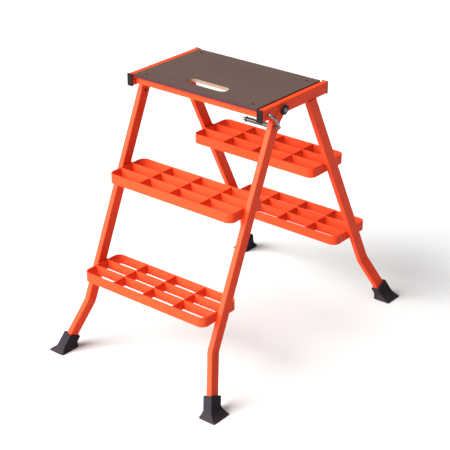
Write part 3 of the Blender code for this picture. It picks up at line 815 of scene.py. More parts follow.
@dataclass
class Deck:
    """The stepped-on top: board, its slot's sawn wall and its screws."""

    bench: Bench
    slot_length: float = 0.134
    slot_width: float = 0.035
    slot_from_front: float = 0.0560
    lining: float = 0.00022
    chamfer: float = 0.0005
    screw_head: float = 0.0040
    screw_shank: float = 0.0020
    screw_length: float = 0.018
    socket: float = 0.0017
    socket_depth: float = 0.0010

    def build(self) -> None:
        """Makes the deck's pieces."""
        self.bench.keep("top_board", Slot.FILM)
        self.slot_wall()
        for end in ("front", "rear"):
            for side in Side:
                self.screw(f"board_screw_{end}_{side.label}")

    def slot_wall(self) -> None:
        """The slot's sawn wall: a stadium outline carried down through the board."""
        low, high = span("top_board")
        centre = np.array((0.0, low[1] + self.slot_from_front, 0.0))
        inner = rounded_rectangle(
            self.slot_length - 2 * self.lining,
            self.slot_width - 2 * self.lining,
            self.slot_width / 2,
            corner=20,
        )
        outer = inner * (
            (self.slot_length + self.lining) / self.slot_length,
            (self.slot_width + 4 * self.lining) / self.slot_width,
        )
        top, bottom = high[2] - 0.00005, low[2] + 0.00005
        levels = ((inner, bottom), (inner, top - self.chamfer), (outer, top), (outer, bottom))
        rings = [np.column_stack([ring, np.full(len(ring), z)]) for ring, z in levels]
        shell = skin(np.stack(rings) + centre, wrap=True)
        wall = self.bench.piece("slot_wall", [shell], Slot.FILM, Body.PLATFORM)
        for place in wall.material_slots:
            place.material = self.bench.paints.veneer

    def screw(self, node: str) -> None:
        """A countersunk screw with a six-sided socket, turned about z."""
        low, high = span(node)
        centre = np.array(((low[0] + high[0]) / 2, (low[1] + high[1]) / 2, high[2]))
        six = hexagon(48)
        head, shank = self.screw_head, self.screw_shank
        rows = (
            (-self.socket_depth, 0.2 * six * self.socket),
            (-self.socket_depth, six * self.socket),
            (-0.0001, six * self.socket),
            (0.0, six * (self.socket + 0.0001)),
            (0.0, np.full(48, head - 0.0002)),
            (-0.0001, np.full(48, head - 0.00005)),
            (-0.0004, np.full(48, head)),
            (-0.0004 - head + shank, np.full(48, shank)),
            (-self.screw_length + 0.003, np.full(48, shank)),
            (-self.screw_length, np.full(48, 0.0003)),
        )
        heights = np.array([row[0] for row in rows])
        radii = np.stack([row[1] for row in rows])
        rings = polar(heights, radii, centre, np.array((0.0, 0.0, 1.0)), 48)
        name = node.replace("board_screw", "socket_screw")
        self.bench.piece(name, [skin(rings)], Slot.BLACK_STEEL, Body.PLATFORM, [node])


@dataclass
class TopFrame:
    """The welded frame under the board: two end rails, two cross rails and four end caps."""

    bench: Bench
    corner: float = 0.0025
    wall: float = 0.0015
    bolt_hole: float = 0.0044
    lock_hole: float = 0.0046
    pin_radius: float = 0.004
    ribs: int = 4
    rib_height: float = 0.0009
    cap_plug: float = 0.014
    weld: float = 0.0018

    def build(self) -> None:
        """Makes the frame's pieces."""
        for side in Side:
            self.end_rail(side)
            for end, way in (("front", -1), ("rear", 1)):
                self.cap(side, end, way)
        for number, end in enumerate(("front", "rear")):
            self.cross_rail(end, number)

    def tube(self, low: Array, high: Array, axis: int) -> Shell:
        """A hollow tube: its outer outline one way along the axis, its inner outline back.

        Args:
            low: Lowest corner.
            high: Highest corner.
            axis: Which axis it runs along.

        Returns:
            The closed shell, open at both ends like the real tube.
        """
        others = [a for a in range(3) if a != axis]
        size, middle = high - low, (high + low) / 2
        rings = []
        for inset, ends in ((0.0, (low[axis], high[axis])), (self.wall, (high[axis], low[axis]))):
            outline = rounded_rectangle(
                size[others[0]] - 2 * inset, size[others[1]] - 2 * inset, self.corner - inset
            )
            for end in ends:
                ring = np.empty((len(outline), 3))
                ring[:, others] = outline + middle[others]
                ring[:, axis] = end
                rings.append(ring)
        return skin(np.stack(rings), wrap=True)

    def end_rail(self, side: Side) -> None:
        """A rail along y, drilled for the pivot bolt and, in its outer wall, for the lock pin."""
        name = f"end_rail_{side.label}"
        low, high = span(name)
        middle = (low + high) / 2
        pivot = sum(span(f"pivot_bolt_{side.label}")) / 2
        lock = span("lock_pin")
        pin_z = lock[1][2] - self.pin_radius
        outer = side.value * (abs(middle[0]) + (high - low)[0] / 2)
        holes = [
            drill_x(np.array((middle[0], pivot[1], pivot[2])), self.bolt_hole, 0.012),
            drill_x(np.array((outer, lock[0][1] + self.pin_radius, pin_z)), self.lock_hole, 0.004),
        ]
        shell = self.tube(low, high, 1)
        piece = f"side_rail_{side.label}"
        self.bench.piece(piece, [shell], Slot.PAINT, Body.PLATFORM, [name], holes)

    def cross_rail(self, end: str, number: int) -> None:
        """A flat-lying rail along x, with a weld bead under each of its ends."""
        name = f"cross_rail_{end}"
        low, high = span(name)
        shells = [self.tube(low, high, 0)]
        self.bench.piece(f"flat_rail_{end}", shells, Slot.PAINT, Body.PLATFORM, [name])
        out = np.array((0.0, 0.0, -1.0))
        beads = [
            bead(
                np.array((x, low[1] + 0.002, low[2])),
                np.array((x, high[1] - 0.002, low[2])),
                out,
                self.weld,
                10 * number + index,
            )
            for index, x in enumerate((low[0], high[0]))
        ]
        self.bench.piece(f"flat_rail_welds_{end}", beads, Slot.PAINT, Body.PLATFORM)

    def cap(self, side: Side, end: str, way: int) -> None:
        """A ribbed cap: its outer face stands out by h |sin| of the distance across, in ridges."""
        name = f"end_cap_{end}_{side.label}"
        low, high = span(name)
        rail_low, rail_high = span(f"end_rail_{side.label}")
        face = low[1] if way < 0 else high[1]
        mouth = rail_low[1] if way < 0 else rail_high[1]
        width, height = high[0] - low[0], high[2] - low[2]
        middle = (rail_low + rail_high) / 2
        across = np.linspace(-1, 1, 16 * self.ribs + 1)
        ridge = self.rib_height * (1 - np.abs(np.sin(np.pi * self.ribs * (across + 1) / 2)) ** 0.6)
        ridge *= np.clip((1 - np.abs(across)) * 12, 0, 1)
        depth = abs(face - mouth)
        front = np.column_stack([across * (width / 2 - 0.0005), depth - ridge])
        back = np.array([(width / 2, depth - 0.0009), (width / 2, 0.0), (-width / 2, 0.0)])
        outline = np.concatenate([front, back, [(-width / 2, depth - 0.0009)]])
        levels = eased(-height / 2, height / 2, 9)
        pull = np.clip(np.abs(levels) - height / 2 + 0.0012, 0, None) * 0.5
        rings = np.empty((len(levels), len(outline), 3))
        rings[..., 0] = middle[0] + outline[:, 0] * (1 - pull[:, None] / width)
        rings[..., 1] = mouth + way * np.minimum(outline[:, 1], depth - pull[:, None])
        rings[..., 2] = middle[2] + levels[:, None]
        inset = 2 * (self.wall + 0.0006)
        size = rail_high - rail_low
        plug = rounded_rectangle(size[0] - inset, size[2] - inset, 0.001)
        ends = np.array((mouth - way * self.cap_plug, mouth + way * 0.001))
        core = np.empty((2, len(plug), 3))
        core[..., 0] = middle[0] + plug[:, 0]
        core[..., 1] = ends[:, None]
        core[..., 2] = middle[2] + plug[:, 1]
        shells = [skin(rings), skin(core)]
        piece = f"ribbed_cap_{end}_{side.label}"
        self.bench.piece(piece, shells, Slot.PLASTIC, Body.PLATFORM, [name])


@dataclass
class LegPair:
    """Two legs of one frame: they lean, splay outwards below a bend and stand in rubber feet."""

    bench: Bench
    platform_y: float
    rail_top: float
    label: str
    facing: int
    body: Body
    start: float
    lean: float
    outer_x: float
    bend_z: float
    splay: float = 0.324
    bend_half: float = 0.006
    width: float = 0.016
    depth: float = 0.032
    wall: float = 0.0015
    corner: float = 0.0025
    tube_end: float = 0.009
    crease_depth: float = 0.0022
    crease_half: float = 0.013
    crease_narrow: float = 3.1
    ripple: float = 0.35
    ripple_pitch: float = 0.0135
    bend_reach: float = 0.036
    step_weld: float = 0.0021
    foot_top: float = 0.047
    foot_wall: float = 0.0060
    foot_corner: float = 0.0022
    flare_top: float = 0.0205
    flare_power: float = 1.4
    sole_edge: float = 0.003
    sole_out: tuple[float, float] = (0.0300, 0.0281)
    sole_in: tuple[float, float] = (0.0211, 0.0340)

    @property
    def half_depth(self) -> float:
        """Half the leg's depth measured level."""
        return self.depth / 2 * math.hypot(1, self.lean)

    def y(self, z: Array) -> Array:
        """Centre line in y: platform centre + facing (start + lean times the drop)."""
        return self.platform_y + self.facing * (self.start + self.lean * (self.rail_top - z))

    def x(self, z: Array) -> Array:
        """Centre line in x: straight, then a parabola through the bend, then splayed."""
        below = self.bend_z - z
        reach = np.clip(below + self.bend_half, 0, 2 * self.bend_half)
        curved = self.splay * reach**2 / (4 * self.bend_half)
        straight = self.splay * np.clip(below - self.bend_half, 0, None)
        return self.outer_x - self.width / 2 + curved + straight

    def lift(self, u: Array) -> Array:
        """How far a point u from the line lies above its square section: u lean / (1 + lean^2)."""
        return self.facing * u * self.lean / (1 + self.lean**2)

    def slope(self, z: Array) -> Array:
        """The splay at a height: none above the bend, all of it below, growing evenly between."""
        below = (self.bend_z + self.bend_half - z) / (2 * self.bend_half)
        return self.splay * np.clip(below, 0, 1)

    def levels(self, top: float) -> tuple[Array, Array]:
        """Heights of the sections, close together through the bend, and how square each is."""
        reach = self.bend_reach
        bend = np.linspace(self.bend_z + reach, self.bend_z - reach, 49)
        above = np.linspace(top, self.bend_z + reach + 0.010, 5)
        square = np.concatenate([np.zeros(5), np.ones(49), np.zeros(2)])
        return np.concatenate([above, bend, [0.06, self.tube_end]]), square

    def sections(self, z: Array, square: Array, side: Side, inset: float = 0.0) -> Array:
        """Sections of the tube, with the crease pressed into the outer wall at the bend.

        The bend turns about the tube's own depth: a point (u, v) takes the splay of the square
        section it lies on, whose height is z + (square - 1) lift(u). The crease is
        depth exp(-(dz / half)^2) (1 - (n u)^2)^2 deep, and its floor is rippled along the leg.

        Args:
            z: Heights (k,).
            square: 1 for a section square to the leg's upper part, 0 for a level one, (k,).
            side: Which leg.
            inset: How far inside the outer face, for the hollow.

        Returns:
            Rings (k, n, 3).
        """
        half = self.half_depth - inset * math.hypot(1, self.lean)
        corner = max(self.corner - inset, 0.0008)
        outline = rounded_rectangle(2 * half, self.width - 2 * inset, corner, corner=5, flats=14)
        u, v = outline.T
        lift = self.lift(u)
        at = z[:, None] + square[:, None] * lift
        base = at - lift
        away = base - self.bend_z
        rise = np.exp(-((away / self.crease_half) ** 2))
        ripple = 1 + self.ripple * np.cos(away * 2 * np.pi / self.ripple_pitch)
        share = self.crease_narrow * u / (2 * half)
        hollow = np.clip(1 - share**2, 0, None) ** 2 * (v > 0.4 * self.width)
        press = self.crease_depth * rise * ripple * hollow
        widened = v * np.hypot(1, self.slope(base) / math.hypot(1, self.lean))
        return np.stack([side.value * (self.x(base) + widened - press), self.y(at) + u, at], -1)

    def foot_rings(
        self, z: Array, extents: Array, square: Array, skew: Array, side: Side
    ) -> Array:
        """Sections round the leg for its foot.

        A point v outwards and u along y from the leg's line stands at height
        z + square (splay v + facing lean u) / (1 + splay^2 + lean^2), on that height's line.

        Args:
            z: Heights (k,).
            extents: Reach outwards, inwards, away from and back to the platform, (k, 4).
            square: 1 for a section square to the leg, 0 for a level one, (k,).
            skew: 1 for sides turned with the splayed leg's, 0 for sides along y, (k,).
            side: Which leg.

        Returns:
            Rings (k, n, 3).
        """
        outline = rounded_rectangle(2.0, 2.0, self.foot_corner / self.half_depth, corner=4, flats=8)
        out, inside, away, back = extents.T[..., None]
        v = outline[:, 1] * np.where(outline[:, 1] > 0, out, inside)
        u = outline[:, 0] * np.where(outline[:, 0] * self.facing > 0, away, back)
        v = v + skew[:, None] * self.splay * self.lift(u)
        slope = 1 + self.splay**2 + self.lean**2
        at = z[:, None] + square[:, None] * (self.splay * v + self.facing * self.lean * u) / slope
        return np.stack([side.value * (self.x(at) + v), self.y(at) + u, at], -1)

    def foot(self, side: Side) -> None:
        """A rubber foot: a sleeve set square to the leg, over a sole that flares with depth^1.4."""
        wall = np.array((self.width / 2, self.width / 2, self.half_depth, self.half_depth))
        wall = wall + self.foot_wall
        sole = np.array((self.sole_out[0], self.sole_in[0], self.sole_out[1], self.sole_in[1]))
        flare = np.linspace(self.sole_edge, self.flare_top, 22)
        risen = (flare - self.sole_edge) / (self.flare_top - self.sole_edge)
        share = (1 - risen) ** self.flare_power
        low = sole - np.array((0.0006, 0.0))[:, None]
        high = wall - np.array((0.0, 0.0, 0.0003, 0.0010))[:, None]
        inner = self.width / 2 * math.hypot(1, self.splay)
        socket = np.array((inner, inner, self.half_depth, self.half_depth)) + 0.0003
        rows = [low, wall + (sole - wall) * share[:, None], high, np.tile(socket, (3, 1))]
        top = self.foot_top
        z = np.concatenate(
            [[0.0, 0.0006], flare, [self.flare_top + 0.001, top - 0.001, top - 0.0003, top]]
            + [[top, self.flare_top, self.tube_end]]
        )
        square = np.concatenate([np.zeros(25), np.ones(4), np.zeros(2)])
        skew = np.concatenate([np.zeros(2), 1 - share, np.ones(7)])
        rings = self.foot_rings(z, np.concatenate(rows), square, skew, side)
        name = f"{self.label}_foot_{side.label}"
        self.bench.piece(
            f"{self.label}_boot_{side.label}", [skin(rings)], Slot.RUBBER, self.body, [name]
        )

    def step_welds(self, side: Side, tops: Sequence[float], height: float) -> list[Shell]:
        """Beads down both edges of a leg where each step's end meets its inner wall.

        Args:
            side: Which leg.
            tops: Heights of the steps' tops.
            height: The steps' depth.

        Returns:
            The beads.
        """
        beads: list[Shell] = []
        inner = self.outer_x - self.width
        for number, top in enumerate(tops):
            for edge in (-1, 1):
                ends = np.array((top + 0.003, top - height + 0.001))
                y = self.y(ends) + edge * (self.half_depth + 0.0002)
                path = np.column_stack([np.full(2, side.value * (inner - 0.0006)), y, ends])
                out = unit(np.array((-side.value * 0.4, edge, 0.0)))
                seed = number * 4 + edge + side.value + 2
                beads.append(bead(path[0], path[1], out, self.step_weld, seed))
        return beads


@dataclass
class RearLegs(LegPair):
    """The rear legs, welded under the end rails."""

    label: str = "rear"
    facing: int = 1
    body: Body = Body.PLATFORM
    start: float = 0.0577
    lean: float = 0.5045
    outer_x: float = 0.2250
    bend_z: float = 0.1425
    weld: float = 0.0016

    def build(self, tops: Sequence[float], height: float) -> None:
        """Makes the rear legs, feet and welds.

        Args:
            tops: Heights of the steps' tops.
            height: The steps' depth.
        """
        for side in Side:
            name = f"rear_leg_{side.label}"
            top = float(span(name)[1][2])
            rings = self.sections(*self.levels(top), side)
            self.bench.piece(
                f"rear_tube_{side.label}", [skin(rings)], Slot.PAINT, self.body, [name]
            )
            beads = self.step_welds(side, tops, height)
            beads += self.top_welds(side, top)
            self.bench.piece(f"rear_welds_{side.label}", beads, Slot.PAINT, self.body)
            self.foot(side)

    def top_welds(self, side: Side, top: float) -> list[Shell]:
        """Beads along the leg's inner and outer walls where its top meets the rail."""
        y = float(self.y(np.array(top)))
        ends = (y - self.half_depth, y + self.half_depth)
        beads = []
        for number, (x, way) in enumerate(
            ((self.outer_x + 0.0001, 1), (self.outer_x - self.width - 0.0001, -1))
        ):
            start, end = (np.array((side.value * x, at, top)) for at in ends)
            out = np.array((side.value * way, 0.0, 0.0))
            beads.append(bead(start, end, out, self.weld, 50 + number + side.value))
        return beads


@dataclass
class FrontLegs(LegPair):
    """The hinged front legs: above a mitred shoulder only the outer wall runs on, as a lug."""

    label: str = "front"
    facing: int = -1
    body: Body = Body.FRONT
    start: float = 0.0614
    lean: float = 0.4346
    outer_x: float = 0.2256
    bend_z: float = 0.1454
    lug: float = 0.0015
    lug_radius: float = 0.0125
    lug_corner: float = 0.0004
    shoulder: tuple[float, float] = (0.0355, 0.0485)
    tube_top_drop: float = 0.052
    lock_drop: float = 0.0580
    lock_hole: float = 0.0046

    def build(self, tops: Sequence[float], height: float) -> None:
        """Makes the front legs, feet and welds.

        Args:
            tops: Heights of the steps' tops.
            height: The steps' depth.
        """
        for side in Side:
            name = f"front_leg_{side.label}"
            pivot = sum(span(f"pivot_bolt_{side.label}")) / 2
            rings = np.concatenate([self.lug_rings(side, pivot), self.tube_rings(side)])
            lock_z = self.rail_top - self.lock_drop
            x = side.value * (self.outer_x - self.width / 2)
            lock_y = float(self.y(np.array(lock_z)))
            hole = drill_x(np.array((x, lock_y, lock_z)), self.lock_hole, 0.02)
            self.bench.piece(
                f"front_tube_{side.label}", [skin(rings)], Slot.PAINT, self.body, [name], [hole]
            )
            beads = self.step_welds(side, tops, height)
            self.bench.piece(f"front_welds_{side.label}", beads, Slot.PAINT, self.body)
            self.foot(side)

    def tube_rings(self, side: Side) -> Array:
        """The tube's sections, down its outside from just under the shoulder and up its inside."""
        z, square = self.levels(self.rail_top - self.tube_top_drop)
        outer = self.sections(z, square, side)
        return np.concatenate([outer, self.sections(z[::-1], square[::-1], side, self.wall)])

    def slanted(self, front: Array, rear: Array, x: tuple[float, float], radius: float) -> Array:
        """A round-cornered section between two (y, z) edges and two x planes.

        A point (u, v) of the outline goes to middle + u (rear - front) / depth in (y, z).

        Args:
            front: Front edge (y, z).
            rear: Rear edge (y, z).
            x: Inner and outer plane.
            radius: Corner radius.

        Returns:
            One ring (n, 3).
        """
        depth = float(np.linalg.norm(rear - front))
        outline = rounded_rectangle(depth, x[1] - x[0], radius, corner=5, flats=14)
        line = (front + rear) / 2 + outline[:, :1] * (rear - front) / depth
        return np.column_stack([(x[0] + x[1]) / 2 + outline[:, 1], line])

    def lug_rings(self, side: Side, pivot: Array) -> Array:
        """The lug's sections, round the pivot and down to the shoulder.

        Args:
            side: Which leg.
            pivot: The pivot bolt's middle.

        Returns:
            Rings (k, n, 3).
        """
        eye = pivot[1:]
        full = (self.outer_x - self.width, self.outer_x)
        thin = (self.outer_x - self.lug, self.outer_x)
        edges = []
        for drop, edge in zip(self.shoulder, (-1, 1)):
            z = self.rail_top - drop
            edges.append(np.array((float(self.y(np.array(z))) + edge * self.half_depth, z)))
        along = unit(eye - (edges[0] + edges[1]) / 2)
        across = np.array((-along[1], along[0]))
        angles = np.radians(np.linspace(84, 0, 15))
        centres = eye + along * (self.lug_radius * np.sin(angles))[:, None]
        halves = across * (self.lug_radius * np.cos(angles))[:, None]
        rings = [
            self.slanted(centre + half, centre - half, thin, self.lug_corner)
            for centre, half in zip(centres, halves)
        ]
        lift = along * 0.0015
        rings.append(self.slanted(edges[0] + lift, edges[1] + lift, thin, self.lug_corner))
        rings.append(self.slanted(edges[0] + 0.5 * lift, edges[1] + 0.5 * lift, full, 0.002))
        rings.append(self.slanted(edges[0], edges[1], full, self.corner))
        return np.stack(rings) * (side.value, 1.0, 1.0)


@dataclass
class Tread:
    """One open step: a flat bar bent round into a rim, filled with bars on edge."""

    bench: Bench
    name: str
    body: Body
    rim: float = 0.004
    bar: float = 0.003
    corner: float = 0.020
    edge: float = 0.0009
    long_bars: int = 2
    cross_bars: int = 3
    clearance: float = 0.0003
    bite: float = 0.0008
    seed: int = 0

    def build(self) -> float:
        """Makes the step's pieces.

        Returns:
            The height of its top.
        """
        low, high = span(f"{self.name}_rim")
        middle, size = (low + high) / 2, high - low
        profile = rounded_rectangle(self.rim, size[2], self.edge, corner=3)
        inset = self.corner - self.rim / 2
        outline = rounded_rectangle(
            size[0] - self.rim, size[1] - self.rim, inset, corner=22, flats=6
        )
        path = np.column_stack([outline, np.zeros(len(outline))]) + middle
        step = np.roll(outline, -1, 0) - np.roll(outline, 1, 0)
        out = unit(np.column_stack([step[:, 1], -step[:, 0], np.zeros(len(step))]))
        rim = skin(carried(profile, path, out, np.array((0.0, 0.0, 1.0))), wrap=True)
        self.bench.piece(f"{self.name}_band", [rim], Slot.PAINT, self.body, [f"{self.name}_rim"])
        self.bars(middle, size)
        return float(high[2])

    def places(self, reach: float, count: int) -> Array:
        """Evenly spaced places of bars between -reach and reach."""
        return np.linspace(-reach, reach, count + 2)[1:-1]

    def bars(self, middle: Array, size: Array) -> None:
        """The bars on edge, and a weld dot where each meets the rim.

        Args:
            middle: The rim's middle.
            size: The rim's size.
        """
        half = size[:2] / 2 - self.rim - self.clearance
        rows = self.places(half[1], self.long_bars)
        columns = self.places(half[0], self.cross_bars)
        up = np.array((0.0, 0.0, 1.0))
        ends = np.array((-1.0, 1.0))[:, None]
        shells: list[Shell] = []
        dots: list[Shell] = []
        names = [f"{self.name}_bar_{label}" for label in ("a", "b")]
        names += [f"{self.name}_cross_{label}" for label in ("left", "middle", "right")]
        top = middle[2] + size[2] / 2
        for y in rows:
            profile = rounded_rectangle(self.bar, size[2] - 0.0004, 0.0006, corner=3)
            path = middle + np.array((0.0, y, 0.0)) + ends * (half[0] + self.bite, 0, 0)
            shells.append(skin(carried(profile, path, np.array((0.0, 1.0, 0.0)), up)))
            dots += [self.dot(middle[0] + s * half[0], middle[1] + y, top, 0) for s in (-1, 1)]
        for x in columns:
            profile = rounded_rectangle(self.bar, size[2] - 0.0009, 0.0006, corner=3)
            path = middle + np.array((x, 0.0, 0.0)) + ends * (0, half[1] + self.bite, 0)
            shells.append(skin(carried(profile, path, np.array((1.0, 0.0, 0.0)), up)))
            dots += [self.dot(middle[0] + x, middle[1] + s * half[1], top, 1) for s in (-1, 1)]
        self.bench.piece(f"{self.name}_grid", shells, Slot.PAINT, self.body, names)
        self.bench.piece(f"{self.name}_dots", dots, Slot.PAINT, self.body)

    def dot(self, x: float, y: float, top: float, along: int) -> Shell:
        """A weld dot beside a bar's end, a little under the step's top.

        Args:
            x: The bar's end in x.
            y: The bar's end in y.
            top: The step's top.
            along: 0 beside a long bar, 1 beside a cross bar.

        Returns:
            The dot.
        """
        rng = np.random.default_rng(self.seed + int(abs(x + 3 * y) * 1e5))
        beside = 0.0018 * rng.choice((-1, 1))
        shift = np.array((0.0, beside)) if along == 0 else np.array((beside, 0.0))
        centre = np.array((x + shift[0], y + shift[1], top - rng.uniform(0.0032, 0.0042)))
        radii = np.array((0.0017, 0.0017, 0.0028)) * rng.uniform(0.85, 1.15)
        return blob(centre, radii, int(rng.integers(1000)))


@dataclass
class Pivot:
    """One hinge: a black boss round a nut on the carriage bolt's end."""

    bench: Bench
    side: Side
    radius: float = 0.0125
    recess: float = 0.0084
    floor: float = 0.0030
    lobe: float = 0.0045
    lobe_reach: float = 0.0115
    lobe_angle: float = math.radians(12)
    bore: float = 0.0044
    edge: float = 0.0009
    sides: int = 96
    thread_pitch: float = 0.00125
    thread_root: float = 0.00402
    thread_height: float = 0.00022

    def build(self) -> None:
        """Makes the boss, the nut and the bolt's threaded end."""
        self.bench.keep(f"pivot_bolt_{self.side.label}", Slot.ZINC)
        self.boss()
        self.nut()
        self.thread()

    @property
    def axis(self) -> Array:
        """Outwards along the hinge."""
        return np.array((float(self.side.value), 0.0, 0.0))

    def outline(self) -> Array:
        """Polar radius of a circle with a round lobe: the larger of R and the ray's far hit."""
        angles = np.linspace(0, 2 * np.pi, self.sides, endpoint=False)
        lean = self.lobe_angle if self.side is Side.RIGHT else -self.lobe_angle
        along = self.lobe_reach * np.cos(angles - lean)
        off = self.lobe_reach**2 - along**2
        hit = along + np.sqrt(np.clip(self.lobe**2 - off, 0, None))
        met = (along > 0) & (off < self.lobe**2)
        return np.where(met, np.maximum(hit, self.radius), self.radius)

    def foot_of(self, node: str) -> tuple[Array, float]:
        """The middle of a node's face nearest the leg, and its thickness."""
        low, high = span(node)
        bolt = sum(span(f"pivot_bolt_{self.side.label}")) / 2
        near = low[0] if self.side is Side.RIGHT else high[0]
        return np.array((near, bolt[1], bolt[2])), float(high[0] - low[0])

    def boss(self) -> None:
        """The boss: rounded outer rim, a recess for the nut and a bore, all polar rings."""
        node = f"pivot_boss_{self.side.label}"
        centre, thick = self.foot_of(node)
        around = self.outline()
        turn = np.linspace(0, np.pi / 2, 5)
        rows = [(0.0, around - 0.0003), (0.0003, around)]
        rows += [
            (thick - self.edge * (1 - math.sin(a)), around - self.edge * (1 - math.cos(a)))
            for a in turn
        ]
        flat = np.full(self.sides, 1.0)
        rows += [
            (thick, flat * (self.recess + 0.0006)),
            (thick - 0.0005, flat * self.recess),
            (self.floor + 0.0002, flat * (self.recess - 0.0001)),
            (self.floor, flat * (self.recess - 0.0004)),
            (self.floor, flat * self.bore),
            (0.0, flat * self.bore),
        ]
        heights = np.array([row[0] for row in rows])
        radii = np.stack([row[1] for row in rows])
        shell = skin(polar(heights, radii, centre, self.axis, self.sides), wrap=True)
        name = f"hinge_boss_{self.side.label}"
        self.bench.piece(name, [shell], Slot.PLASTIC, Body.PLATFORM, [node])

    def nut(self) -> None:
        """A chamfered nut: the smaller of the hexagon's radius and the chamfer cone's."""
        node = f"pivot_nut_{self.side.label}"
        centre, thick = self.foot_of(node)
        low, high = span(node)
        corner = max(high[1] - low[1], high[2] - low[2]) / 2
        six = hexagon(self.sides) * corner
        heights = np.concatenate([np.linspace(0, 0.001, 4), np.linspace(thick - 0.001, thick, 5)])
        cone = corner * 0.885 + 1.25 * np.minimum(heights, thick - heights)
        outer = np.minimum(six[None], cone[:, None])
        bore = np.array((0.0048, 0.0043, 0.0043, 0.0048))[:, None] * np.ones(self.sides)
        levels = np.concatenate([heights, (thick, thick - 0.0005, 0.0005, 0.0)])
        rings = polar(levels, np.concatenate([outer, bore]), centre, self.axis, self.sides)
        name = f"hinge_nut_{self.side.label}"
        self.bench.piece(name, [skin(rings, wrap=True)], Slot.ZINC, Body.PLATFORM, [node])

    def thread(self) -> None:
        """The bolt's thread: radius r + h |2 frac(x / pitch + a / 2 pi) - 1| over its last turns."""
        low, high = span(f"pivot_bolt_{self.side.label}")
        tip = high[0] if self.side is Side.RIGHT else low[0]
        bolt = (low + high) / 2
        centre = np.array((tip, bolt[1], bolt[2]))
        heights = np.linspace(-0.0060, -0.0003, 58)
        angles = np.linspace(0, 2 * np.pi, 48, endpoint=False)
        turns = heights[:, None] / self.thread_pitch + angles[None] / (2 * np.pi)
        radii = self.thread_root + self.thread_height * np.abs(2 * np.mod(turns, 1) - 1)
        rings = polar(heights, radii, centre, self.axis, 48)
        name = f"hinge_thread_{self.side.label}"
        self.bench.piece(name, [skin(rings)], Slot.ZINC, Body.PLATFORM)


@dataclass
class LockPin:
    """The hooked pin that locks the front frame, with its spring, washer and clip."""

    bench: Bench
    radius: float = 0.004
    low_bend: float = 0.0075
    tip_in: float = 0.003
    wire: float = 0.0006
    turns: float = 30.0
    turn_steps: int = 24
    end_closing: float = 0.018
    spring_radius: float = 0.0056
    travel: float = 0.0360
    washer_edge: float = 0.0003
    ring_sides: int = 60

    def build(self) -> None:
        """Makes the pin, washer, clip and spring."""
        self.pin()
        self.ring("lock_washer", "pin_washer")
        self.ring("lock_clip", "pin_clip")
        self.spring()

    def line(self) -> tuple[Array, Array]:
        """The pin's axis through the leg and its hooked end's axis, as points at x = 0."""
        low, high = span("lock_pin")
        washer = span("lock_washer")
        axis = (washer[0] + washer[1]) / 2
        start = np.array((0.0, axis[1], axis[2]))
        end = np.array((0.0, low[1] + self.radius, high[2] - self.radius))
        return start, end

    def pin(self) -> None:
        """The rod: straight through the leg, a tight bend, then a wide arc back to the rail."""
        start, end = self.line()
        low, high = span("lock_pin")
        rail = span("end_rail_right")[1][0]
        out = high[0] - self.radius
        reach = float(np.linalg.norm(end - start))
        up = unit(end - start)
        wide = out - rail
        first = np.linspace(-np.pi / 2, 0, 13)
        second = np.linspace(0, np.pi / 2, 25)
        runs = [
            np.array([(low[0], 0.0), (low[0] + 0.0004, 0.0), (out - self.low_bend - 0.001, 0.0)]),
            np.column_stack([np.cos(first), np.sin(first)]) * self.low_bend
            + (out - self.low_bend, self.low_bend),
            np.column_stack([np.cos(second), np.sin(second)]) * wide + (out - wide, reach - wide),
            np.array([(rail - self.tip_in, reach)]),
        ]
        flat = np.concatenate(runs)
        path = np.array((1.0, 0.0, 0.0)) * flat[:, :1] + start + up * flat[:, 1:]
        radius = np.full(len(path), self.radius)
        radius[0] -= 0.0005
        rings = round_tube(path, radius, np.cross(up, (1.0, 0.0, 0.0)), 32)
        self.bench.piece("hooked_pin", [skin(rings)], Slot.ROD, Body.PIN, ["lock_pin"])

    def ring(self, node: str, name: str) -> None:
        """A flat ring with rounded edges, turned about x.

        Args:
            node: The node that it replaces.
            name: The piece's name.
        """
        low, high = span(node)
        centre = np.array((low[0], (low[1] + high[1]) / 2, (low[2] + high[2]) / 2))
        outer, thick, edge = (high[2] - low[2]) / 2, high[0] - low[0], self.washer_edge
        bore = self.radius + 0.0001
        rows = (
            (0.0, bore),
            (0.0, outer - edge),
            (edge * 0.3, outer - edge * 0.3),
            (edge, outer),
            (thick - edge, outer),
            (thick - edge * 0.3, outer - edge * 0.3),
            (thick, outer - edge),
            (thick, bore),
        )
        heights, radii = np.array(rows).T
        rings = polar(heights, radii, centre, np.array((1.0, 0.0, 0.0)), self.ring_sides)
        self.bench.piece(name, [skin(rings, wrap=True)], Slot.BLACK_STEEL, Body.PIN, [node])

    def spring(self) -> None:
        """The spring: a helix (x, r cos a, r sin a) with closed end turns; it follows the pin."""
        low, high = span("lock_spring")
        start, _ = self.line()
        t = np.linspace(0, 1, int(self.turns * self.turn_steps))
        angle = 2 * np.pi * self.turns * t
        close = t + self.end_closing * np.sin(2 * np.pi * t)
        x = low[0] + self.wire + (high[0] - low[0] - 2 * self.wire) * close
        ray = np.column_stack([np.zeros(len(t)), np.cos(angle), np.sin(angle)])
        path = start * (0, 1, 1) + ray * self.spring_radius
        path[:, 0] = x
        rings = round_tube(path, self.wire, ray, 8)
        wire = skin(rings)
        coil = self.bench.piece("pin_spring", [wire], Slot.ZINC, Body.FRONT, ["lock_spring"])
        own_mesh(coil)


